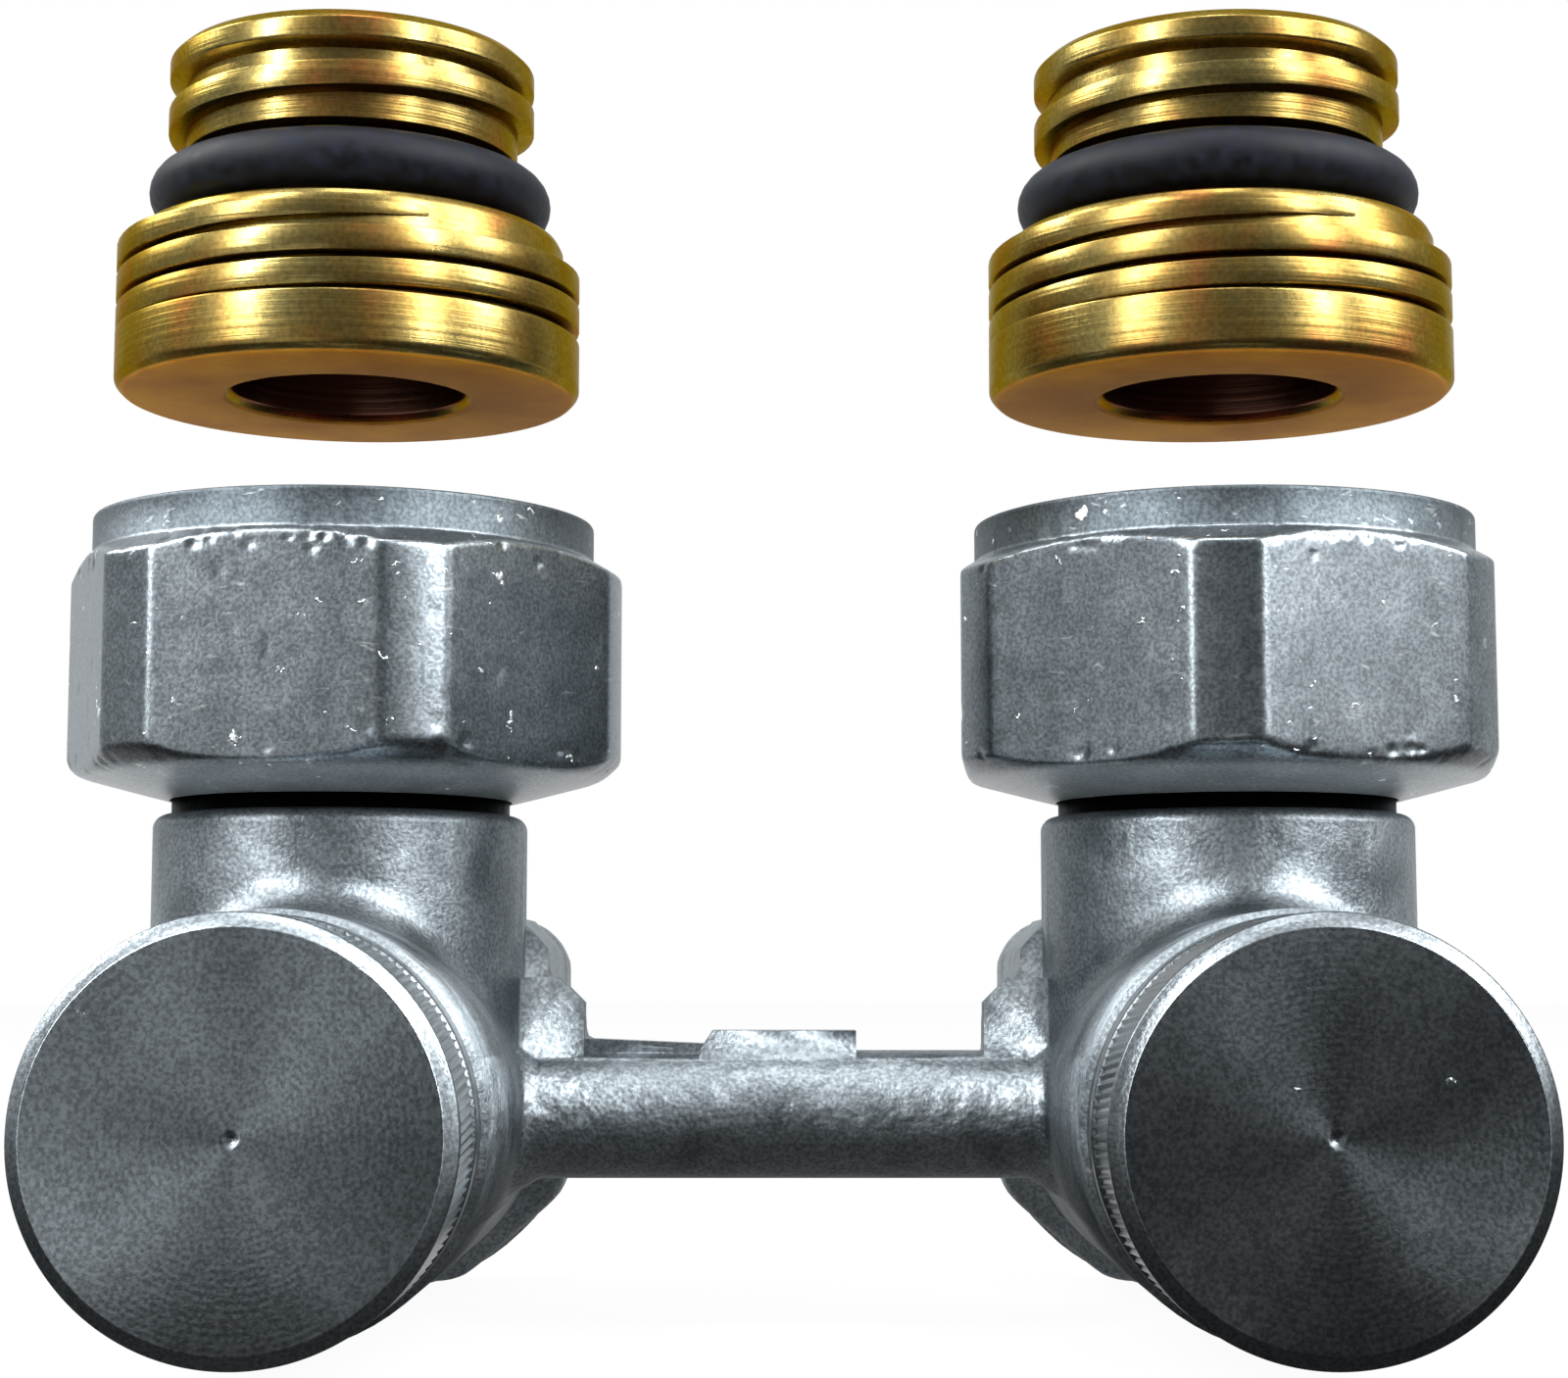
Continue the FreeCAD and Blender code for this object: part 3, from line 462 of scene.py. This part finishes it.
def in_sector(angle):
    """An angle measured from the middle of the hexagon's nearest flat."""
    return (angle + TURN / 12) % (TURN / 6) - TURN / 12


def show(name, mesh, material, body, slot, *nodes):
    """A finished piece that rides on a body and stands for these CAD nodes."""
    mesh.name = name
    mesh.materials.clear()
    mesh.materials.append(material)
    piece = bpy.data.objects.new(name, mesh)
    bpy.context.scene.collection.objects.link(piece)
    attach(piece, body)
    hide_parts(*nodes)


# Threads and knurls, made with Geometry Nodes


def new_tree(name, inputs):
    """A geometry tree with named number inputs and a material input, and its input sockets."""
    tree = bpy.data.node_groups.new(name, "GeometryNodeTree")
    for label, value in inputs.items():
        kind = "NodeSocketInt" if isinstance(value, int) else "NodeSocketFloat"
        tree.interface.new_socket(label, in_out="INPUT", socket_type=kind).default_value = value
    tree.interface.new_socket("Material", in_out="INPUT", socket_type="NodeSocketMaterial")
    tree.interface.new_socket("Geometry", in_out="OUTPUT", socket_type="NodeSocketGeometry")
    return tree, add(tree, "NodeGroupInput").outputs


def close_tree(tree, geometry, given):
    """The nodes that end every geometry tree: real geometry, coated with the given material."""
    real = add(tree, "GeometryNodeRealizeInstances", {"Geometry": geometry})
    coated = add(tree, "GeometryNodeSetMaterial", {"Geometry": real.outputs[0], "Material": given["Material"]})
    add(tree, "NodeGroupOutput", {"Geometry": coated.outputs[0]})
    return tree


def thread_tree():
    """A ridge of one section swept along a right-hand helix. Both ends fade out and sink by the
    ridge's depth, towards the axis where Sink is 1 and away from it where Sink is -1."""
    tree, given = new_tree("screw_thread", {
        "Middle Radius": 10 * MM, "Depth": 1 * MM, "Inner Width": 1 * MM, "Outer Width": 0.5 * MM,
        "Pitch": 1 * MM, "Turns": 3.0, "Fade Turns": 0.35, "Steps": 72, "Rounding": 0.1 * MM,
        "Sink": 1.0})
    rise = maths(tree, "MULTIPLY", given["Pitch"], given["Turns"])
    helix = add(tree, "GeometryNodeCurveSpiral", {
        "Resolution": given["Steps"], "Rotations": given["Turns"], "Start Radius": given["Middle Radius"],
        "End Radius": given["Middle Radius"], "Height": rise}, Reverse=True)
    level = add(tree, "GeometryNodeSetCurveNormal", {"Curve": helix.outputs[0]}, mode="Z_UP")
    section = add(tree, "GeometryNodeCurvePrimitiveQuadrilateral", {
        "Bottom Width": given["Inner Width"], "Top Width": given["Outer Width"], "Height": given["Depth"]},
        mode="TRAPEZOID", Offset=0.0)
    soft = add(tree, "GeometryNodeFilletCurve", {"Curve": section.outputs[0], "Radius": given["Rounding"]},
               mode="POLY", Count=2)
    across = add(tree, "GeometryNodeTransform", {"Geometry": soft.outputs[0]})
    across.inputs["Rotation"].default_value = (0, 0, math.radians(-90))
    along = add(tree, "GeometryNodeSplineParameter").outputs["Factor"]
    turns_done = maths(tree, "MULTIPLY", along, given["Turns"])
    turns_left = maths(tree, "SUBTRACT", given["Turns"], turns_done)
    nearest = maths(tree, "MINIMUM", turns_done, turns_left)
    fade = add(tree, "ShaderNodeMapRange", {"Value": nearest, "From Max": given["Fade Turns"]},
               To_Min=0.05, To_Max=1.0).outputs["Result"]
    # The sinking ends meet the root, so that none of them hangs free.
    drop = maths(tree, "DIVIDE", given["Depth"], given["Middle Radius"])
    share = maths(tree, "MULTIPLY", maths(tree, "SUBTRACT", fade, 1.0), drop)
    towards = maths(tree, "MULTIPLY", share, given["Sink"])
    spot = add(tree, "GeometryNodeInputPosition")
    flat = add(tree, "ShaderNodeVectorMath", {0: spot.outputs[0]}, operation="MULTIPLY")
    flat.inputs[1].default_value = (1.0, 1.0, 0.0)
    shift = add(tree, "ShaderNodeVectorMath", {0: flat.outputs[0], "Scale": towards}, operation="SCALE")
    sunk = add(tree, "GeometryNodeSetPosition", {"Geometry": level.outputs[0], "Offset": shift.outputs[0]})
    ridge = add(tree, "GeometryNodeCurveToMesh", {
        "Curve": sunk.outputs[0], "Profile Curve": across.outputs[0], "Scale": fade}, Fill_Caps=True)
    return close_tree(tree, ridge.outputs[0], given)


def knurl_tree():
    """Fine straight teeth round a rim: one square bar on edge, set round a circle."""
    tree, given = new_tree("rim_knurl", {
        "Radius": 10 * MM, "Teeth": 112, "Bar": 0.4 * MM, "Length": 5 * MM, "Slant": 0.1})
    circle = add(tree, "GeometryNodeMeshCircle", {"Vertices": given["Teeth"], "Radius": given["Radius"]},
                 fill_type="NONE")
    size = add(tree, "ShaderNodeCombineXYZ", {"X": given["Bar"], "Y": given["Bar"], "Z": given["Length"]})
    bar = add(tree, "GeometryNodeMeshCube", {"Size": size.outputs[0]})
    on_edge = add(tree, "GeometryNodeTransform", {"Geometry": bar.outputs["Mesh"]})
    on_edge.inputs["Rotation"].default_value = (0, 0, math.radians(45))
    slant = add(tree, "ShaderNodeCombineXYZ", {"X": given["Slant"]})
    leaning = add(tree, "GeometryNodeTransform", {"Geometry": on_edge.outputs[0], "Rotation": slant.outputs[0]})
    spot = add(tree, "GeometryNodeInputPosition")
    outward = add(tree, "FunctionNodeAlignRotationToVector", {"Vector": spot.outputs[0]}, axis="X",
                  pivot_axis="Z")
    teeth = add(tree, "GeometryNodeInstanceOnPoints", {
        "Points": circle.outputs[0], "Instance": leaning.outputs[0], "Rotation": outward.outputs[0]})
    return close_tree(tree, teeth.outputs[0], given)


def grown(tree, material, **values):
    """The plain mesh that a tree makes from these sizes."""
    carrier = bpy.data.objects.new("carrier", bpy.data.meshes.new("carrier"))
    bpy.context.scene.collection.objects.link(carrier)
    modifier = carrier.modifiers.new("rule", "NODES")
    modifier.node_group = tree
    wanted = {name.replace("_", " "): value for name, value in values.items()}
    wanted["Material"] = material
    for item in tree.interface.items_tree:
        if item.in_out == "INPUT" and item.name in wanted:
            modifier[item.identifier] = wanted[item.name]
    graph = bpy.context.evaluated_depsgraph_get()
    mesh = bpy.data.meshes.new_from_object(carrier.evaluated_get(graph), depsgraph=graph)
    bpy.data.objects.remove(carrier)
    bm = bmesh.new()
    bm.from_mesh(mesh)
    return settled(bm)


THREAD = thread_tree()
KNURL = knurl_tree()


def thread(material, root, crest, pitch, start, end, crest_share=0.78):
    """A helical ridge between two radii and two heights in mm. Where the root is the larger radius,
    the ridge points inwards. Callers set the root a little inside the metal, so that the ridge grows
    out of it. Root and crest widths are shares of the pitch."""
    foot, tip = pitch * 0.98, pitch * crest_share
    outside = crest > root
    inner, outer = (foot, tip) if outside else (tip, foot)
    mesh = grown(THREAD, material, Middle_Radius=(root + crest) / 2 * MM, Depth=abs(crest - root) * MM,
                 Inner_Width=inner * MM, Outer_Width=outer * MM, Pitch=pitch * MM,
                 Turns=(end - start - foot) / pitch, Rounding=pitch * 0.06 * MM,
                 Sink=1.0 if outside else -1.0)
    mesh.transform(Matrix.Translation((0, 0, (start + foot / 2) * MM)))
    return mesh


BRASS = raw_brass()
FORGED = forged_nickel()
NUT = nut_nickel()
# Both caps are the same plate. The left cap's colours are painted lighter and the right cap's darker, as
# painted light and shade.
CAP = {"left": turned_nickel("turned_nickel_cap_left_painted_lighter", SPINDLE["left"], "#80888d", "#899196"),
       "right": turned_nickel("turned_nickel_cap_right_painted_darker", SPINDLE["right"], "#656b6f", "#6e7478")}
RUBBER = moulded_rubber()
FIBRE = pressed_fibre()
INNER_BRASS = plain_metal("inner_turned_brass", "#b8923f", "#c9a552", 0.3)
STEEL = plain_metal("spring_steel", "#8d9092", "#a3a6a8", 0.35)


# Pieces


def nipple(side):
    """The stepped nipple: a plain lead band, the union thread, the waist with its seal, the
    radiator thread and a hexagon for the mounting key at the end of the bore."""
    bore, waist, key_flat, key_corner, mouth = 6.6, 8.2, 5.0, 5.77, 5.2
    key_start, top = 13.8, 19.8
    band, big_root, big_crest, big_top = 13.18, 12.2, 13.17, 9.2
    small_root, small_crest, rim = 9.5, 10.46, 10.44

    def key(radius, height, angle):
        if height < key_start or radius > key_corner:
            return radius
        return min(key_flat / math.cos(in_sector(angle)), key_corner)

    body = turned([
        (7.1, 0.0, 0.1), (12.7, 0.0, 0.2), (band, 0.5, 0.2), (band, 3.35, 0.1), (big_root, 3.9),
        (big_root, 8.6), (11.9, big_top, 0.2), (waist, big_top, 0.2), (waist, key_start, 0.2),
        (small_root, key_start, 0.1), (small_root, 17.7), (rim, 18.1, 0.1), (rim, 19.2, 0.1),
        (9.8, top, 0.2), (mouth, top, 0.1), (mouth, key_start), (bore, key_start), (bore, 0.5, 0.1)],
        steps=192, shape=key)
    big = thread(BRASS, big_root - 0.1, big_crest, G_PITCH, start=2.1, end=9.25)
    small = thread(BRASS, small_root - 0.1, small_crest, G_PITCH, start=key_start, end=18.6)
    mesh = joined(body, big, small)
    mesh.transform(upright(side, NIPPLE_FOOT))
    show(f"brass_nipple_{side}", mesh, BRASS, f"nipple_{side}", "turned_brass", f"nipple_{side}")


def nipple_seal(side):
    """The ring in the waist, a little proud all round."""
    radius, middle_radius, height, corners = 1.6, 9.85, 11.5, 24
    angles = [TURN * step / corners for step in range(corners)]
    circle = [(middle_radius + radius * math.cos(angle), radius * math.sin(angle)) for angle in angles]
    mesh = turned(circle, steps=120)
    mesh.transform(upright(side, NIPPLE_FOOT + height * MM))
    show(f"rubber_ring_{side}", mesh, RUBBER, f"nipple_{side}", "black_rubber", f"nipple_o_ring_{side}")


def cap(side):
    """The blanking cap: a faced end with a shallow centre mark, a chamfer, a knurled rim and a plain
    skirt. Heights run to the front, from the neck axis."""
    back, front, outer, core, inside = 22.0, 31.0, 10.4, 10.2, 8.6
    floor, edge = front - 1.85, 10.34
    body = turned([
        (0.0, front - 0.24), (0.1, front - 0.24, 0.04), (0.42, front - 0.1, 0.1),
        (9.62, front - 0.06, 0.06), (edge, front - 0.6, 0.1), (edge, front - 0.95, 0.06),
        (core, front - 1.05), (core, back + 2.2), (outer, back + 2.0, 0.1), (outer, back, 0.12),
        (inside, back, 0.1), (inside, floor), (0.0, floor)], steps=192)
    knurl = grown(KNURL, CAP[side], Radius=(core - 0.02) * MM, Teeth=136, Bar=0.24 * MM, Length=5.9 * MM,
                  Slant=0.07)
    knurl.transform(Matrix.Translation((0, 0, (back + 5.05) * MM)))
    mesh = joined(body, knurl)
    mesh.transform(facing_front(side))
    show(f"blanking_cap_{side}", mesh, CAP[side], f"cap_{side}", "plated_cap", f"cap_{side}")


def soft_least(lengths, blend):
    """The least of some lengths, with the corners between them rounded."""
    least = min(lengths)
    return least - blend * math.log(sum(math.exp((least - length) / blend) for length in lengths))


def nut_knocks(seed, hexagon_top):
    """Random knocks on a nut, each an angle, a height, a size and a depth: most lie along its upper
    edge, some on its flats and some on its turned foot."""
    draw = random.Random(seed)
    groups = (
        (130, lambda: hexagon_top - abs(draw.gauss(0.5, 0.4)), (0.25, 0.5), (0.04, 0.12)),
        (40, lambda: draw.uniform(1.5, 12.0), (0.3, 0.6), (0.02, 0.06)),
        (30, lambda: draw.uniform(1.2, 2.4), (0.3, 0.6), (0.04, 0.10)))
    return [(draw.uniform(0, TURN), level(), draw.uniform(*sizes), draw.uniform(*depths))
            for count, level, sizes, depths in groups for number in range(count)]


def union_nut(side):
    """The union nut: a hexagon with turned corners, a sloping underside, a thirty degree chamfer
    with knocks along its edge, a round collar and an inside thread."""
    half_flats, corner, slope = 14.5, 15.8, math.tan(math.radians(30))
    hexagon_top, collar, height, spigot, cone_rise = 13.7, 14.1, 15.8, 9.55, 1.6
    thread_crest, thread_root, flange = 13.27, 13.62, 3.0
    least_radius = collar - 0.05
    knocks = nut_knocks(NUT_SEED[side], hexagon_top)

    def worn(radius, level, angle):
        if radius < collar - 0.01 or level > hexagon_top - 0.01:
            return radius
        # The least of the sides, the chamfer above them, the sloping underside and the turned foot,
        # blended more widely towards the foot.
        side_wall = soft_least([half_flats / math.cos(in_sector(angle)), corner], 0.04)
        above = least_radius + (hexagon_top - level) / slope
        below = spigot + level * (corner - spigot) / cone_rise
        foot = 14.35 + (level - 1.1) * 1.5
        blend = 0.14 + 0.14 * max(0.0, 1 - level / 4.0)
        out = soft_least([side_wall, above, below, foot], blend)
        for turn, knock_level, size, depth in knocks:
            if abs(level - knock_level) > size:
                continue
            aside = abs((angle - turn + TURN / 2) % TURN - TURN / 2) * out
            if aside < size:
                away = math.hypot(aside, level - knock_level) / size
                if away < 1:
                    out -= depth * (1 - away * away) ** 2
        return max(out, least_radius)

    # Rows of points up the side, in mm: closer at the foot and along the upper edge.
    levels = [1.2 + 0.12 * row for row in range(14)]
    levels += [3.0 + 0.4 * row for row in range(23)]
    levels += [12.1 + 0.1 * row for row in range(16)]
    mesh = turned([
        (spigot, 0.0, 0.1), (11.5, (11.5 - spigot) * cone_rise / (corner - spigot)),
        *((corner, level) for level in levels),
        (collar, hexagon_top), (collar, height, 0.25), (thread_crest + 0.5, height, 0.1),
        (thread_crest, height - 0.6), (thread_crest, height - 1.2), (thread_root, height - 1.6),
        (thread_root, flange + 0.6), (thread_crest, flange), (spigot, flange, 0.1)],
        steps=480, shape=worn, crease=SOFT_CREASE)
    inside = thread(NUT, thread_root + 0.1, thread_crest + 0.02, G_PITCH, start=flange + 0.3, end=height - 1.3)
    mesh = joined(mesh, inside)
    mesh.transform(upright(side, NUT_FOOT) @ Matrix.Rotation(math.radians(NUT_TURN[side]), 4, "Z"))
    show(f"nut_{side}", mesh, NUT, f"nut_{side}", "plated_nut", f"union_nut_{side}")


def merged_copy(node):
    """A copy of a CAD node with its loose triangles merged into faces."""
    bm = bmesh.new()
    bm.from_mesh(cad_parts[node].data)
    bmesh.ops.remove_doubles(bm, verts=bm.verts, dist=2e-6)
    bmesh.ops.dissolve_limit(bm, angle_limit=math.radians(0.3), verts=bm.verts, edges=bm.edges)
    return bm


def die_rounded(bm, inside, grain, rounds):
    """Rounds the edges of a region as a forging die does: its faces are cut small, then eased."""
    for step in range(6):
        region = [face for face in bm.faces if any(inside(vert.co) for vert in face.verts)]
        bmesh.ops.triangulate(bm, faces=region)
        long_edges = [edge for edge in bm.edges
                      if edge.calc_length() > grain and any(inside(vert.co) for vert in edge.verts)]
        if not long_edges:
            break
        bmesh.ops.subdivide_edges(bm, edges=long_edges, cuts=1, use_grid_fill=False)
    bmesh.ops.triangulate(bm, faces=[face for face in bm.faces if len(face.verts) > 4])
    soft = [vert for vert in bm.verts if inside(vert.co)]
    for step in range(rounds):
        bmesh.ops.smooth_vert(bm, verts=soft, factor=0.5, use_axis_x=True, use_axis_y=True, use_axis_z=True)


def on_collar_or_web(spot):
    """Whether a place lies on a rear collar or on a web from it to the bar. Each side's pipe axis
    lies 25 mm from the middle and 12 mm up."""
    x, y, z = abs(spot.x) / MM, spot.y / MM, spot.z / MM
    collar = 13.9 < y < 18.5 and math.hypot(x - 25.0, z - 12.0) > 9.5
    web = 10.8 < x < 14.4 and y > 1.3 and (z > 15.6 or z < 7.9)
    return collar or web


def drawn_in(bm, from_side, to_side, outer, inner):
    """The crests of an outside thread, drawn in to its root between two stations along Y, in mm."""
    for vert in bm.verts:
        if not from_side * MM < vert.co.y < to_side * MM:
            continue
        middle_x = math.copysign(NECK["right"].x, vert.co.x)
        reach = Vector((vert.co.x - middle_x, vert.co.z - AXIS_HEIGHT))
        if inner * MM < reach.length < outer * MM:
            reach *= inner * MM / reach.length
            vert.co.x = middle_x + reach.x
            vert.co.z = AXIS_HEIGHT + reach.y


def forging():
    """The forging: its solid with the edges of collars and webs rounded, as a die leaves them, and
    its outside threads laid over their roots."""
    pipe_root, pipe_crest, stub_root, stub_crest = 11.15, 11.97, 8.0, 8.45
    bm = merged_copy("valve_body")
    die_rounded(bm, on_collar_or_web, grain=0.75 * MM, rounds=10)
    drawn_in(bm, from_side=19.3, to_side=30, outer=12.3, inner=pipe_root)
    drawn_in(bm, from_side=-27, to_side=-20.6, outer=8.7, inner=stub_root)
    pieces = [settled(bm)]
    pipe = thread(FORGED, pipe_root - 0.15, pipe_crest, pitch=1.5, start=19.6, end=29.0, crest_share=0.3)
    stub = thread(FORGED, stub_root - 0.1, stub_crest, pitch=1.0, start=0.2, end=6.0, crest_share=0.3)
    for side in SIDES:
        for ridge, station, turn in ((pipe, 0, -90), (stub, -20.5, 90)):
            copy = ridge.copy()
            along = Matrix.Rotation(math.radians(turn), 4, "X")
            copy.transform(Matrix.Translation((SPINDLE[side].x, station * MM, AXIS_HEIGHT)) @ along)
            pieces.append(copy)
    show("forged_body", joined(*pieces), FORGED, "base", "plated_forging", "valve_body")


def coat(node, material):
    """A CAD node keeps its shape and gets its finish."""
    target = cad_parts[node]
    if not target.material_slots:
        target.data.materials.append(material)
    for place in target.material_slots:
        place.material = material


for side in SIDES:
    nipple(side)
    nipple_seal(side)
    cap(side)
    union_nut(side)
    for name, material in (
            ("nut_snap_ring", STEEL), ("flat_gasket", FIBRE), ("cap_seal", FIBRE), ("bonnet", INNER_BRASS),
            ("spindle", INNER_BRASS), ("valve_disc", INNER_BRASS), ("bonnet_o_ring", RUBBER),
            ("spindle_o_ring", RUBBER), ("disc_seal", RUBBER)):
        coat(f"{name}_{side}", material)
forging()


# Studio


def pale_floor():
    """Matt white paper under and behind the part. It keeps the part's shadow. Polished metal shows
    it too, dimmer in front, where the room is dark."""
    material, tree, place = new_material("white_paper")
    rays = add(tree, "ShaderNodeLightPath").outputs
    mirrored = maths(tree, "MAXIMUM", rays["Is Glossy Ray"], rays["Is Transmission Ray"])
    direct = maths(tree, "MULTIPLY", rays["Is Camera Ray"], 0.95)
    share = maths(tree, "ADD", direct, mirrored)
    parts = split(tree, place)
    front = mapped(tree, parts["Y"], -0.01, 0.09, 0.09, 0.95)
    # A grey card lies left of the camera, where the left cap's face looks.
    leftwards = mapped(tree, parts["X"], -0.06, -0.02, 0.95, 0.0)
    forwards = mapped(tree, parts["Y"], -0.09, -0.05, 1.0, 0.0)
    card = maths(tree, "MULTIPLY", leftwards, forwards)
    shown = maths(tree, "ADD", front, card)
    strength = maths(tree, "MAXIMUM", shown, rays["Is Camera Ray"])
    paper = add(tree, "ShaderNodeBsdfDiffuse", Color=linear("#ececec"))
    glow = add(tree, "ShaderNodeEmission", {"Strength": strength})
    mixed = add(tree, "ShaderNodeMixShader", {"Fac": share, 1: paper.outputs[0], 2: glow.outputs[0]})
    add(tree, "ShaderNodeOutputMaterial", {"Surface": mixed.outputs[0]})
    bm = bmesh.new()
    bmesh.ops.create_circle(bm, cap_ends=True, segments=96, radius=3.0)
    mesh = bpy.data.meshes.new("paper_floor")
    bm.to_mesh(mesh)
    bm.free()
    mesh.materials.append(material)
    floor = bpy.data.objects.new("paper_floor", mesh)
    bpy.context.scene.collection.objects.link(floor)


def soft_box(name, azimuth, height, size, power, tall=1.0, distance=0.6):
    """A rectangular lamp aimed at the middle of the part. Azimuth 0 is the camera's side. Angles are
    in degrees, size and distance in metres, and tall is its height as a share of its width."""
    data = bpy.data.lights.new(name, "AREA")
    data.shape = "RECTANGLE"
    data.size = size
    data.size_y = size * tall
    data.energy = power
    lamp = bpy.data.objects.new(name, data)
    around, up = math.radians(azimuth), math.radians(height)
    flat = distance * math.cos(up)
    lamp.location = (flat * math.sin(around), -flat * math.cos(around), distance * math.sin(up))
    aim = Vector((0, 0, 0.035)) - lamp.location
    lamp.rotation_euler = aim.to_track_quat("-Z", "Y").to_euler()
    bpy.context.scene.collection.objects.link(lamp)


def studio_world():
    """White paper behind the part for the eye, and a dim room that polished metal shows: dark on the
    camera's side, lighter behind and overhead."""
    world = bpy.data.worlds.new("studio")
    bpy.context.scene.world = world
    world.use_nodes = True
    tree = world.node_tree
    tree.nodes.clear()
    rays = add(tree, "ShaderNodeLightPath")
    parts = split(tree, add(tree, "ShaderNodeTexCoord").outputs["Generated"])
    depth = mapped(tree, parts["Y"], -0.8, 0.9, 0.2, 0.95)
    overhead = mapped(tree, parts["Z"], 0.25, 1.0, 0.0, 0.4)
    strength = maths(tree, "ADD", depth, overhead)
    room = add(tree, "ShaderNodeBackground", {"Strength": strength}, Color=linear("#f2f6f8"))
    paper = add(tree, "ShaderNodeBackground", Strength=1.0, Color=linear("#ffffff"))
    mixed = add(tree, "ShaderNodeMixShader", {"Fac": rays.outputs["Is Camera Ray"], 1: room.outputs[0],
                                             2: paper.outputs[0]})
    add(tree, "ShaderNodeOutputWorld", {"Surface": mixed.outputs[0]})


def photo_camera():
    """The photograph's viewpoint: near the part, a little above the caps, tilted up."""
    back, above_axis, tilt = 0.15875, 0.007, 5.96
    data = bpy.data.cameras.new("photo_camera")
    data.sensor_width = 36.0
    data.lens = 64.98
    data.clip_start = 0.01
    camera = bpy.data.objects.new("photo_camera", data)
    camera.location = (0, -back, AXIS_HEIGHT + above_axis)
    camera.rotation_euler = (math.radians(90 + tilt), 0, 0)
    bpy.context.scene.collection.objects.link(camera)
    bpy.context.scene.camera = camera


pale_floor()
studio_world()
soft_box("left_lamp", -46, 37, size=0.08, power=5.4, tall=6.4)
soft_box("right_lamp", 45, 37, size=0.08, power=4.9, tall=6.4)
soft_box("left_side_lamp", -98, 40, size=0.2, power=3.4, tall=1.4)
soft_box("right_side_lamp", 78, 36, size=0.2, power=3.8, tall=1.8)
soft_box("top_lamp", 0, 80, size=0.16, power=1.2)
photo_camera()
bpy.context.scene.view_settings.view_transform = "Standard"
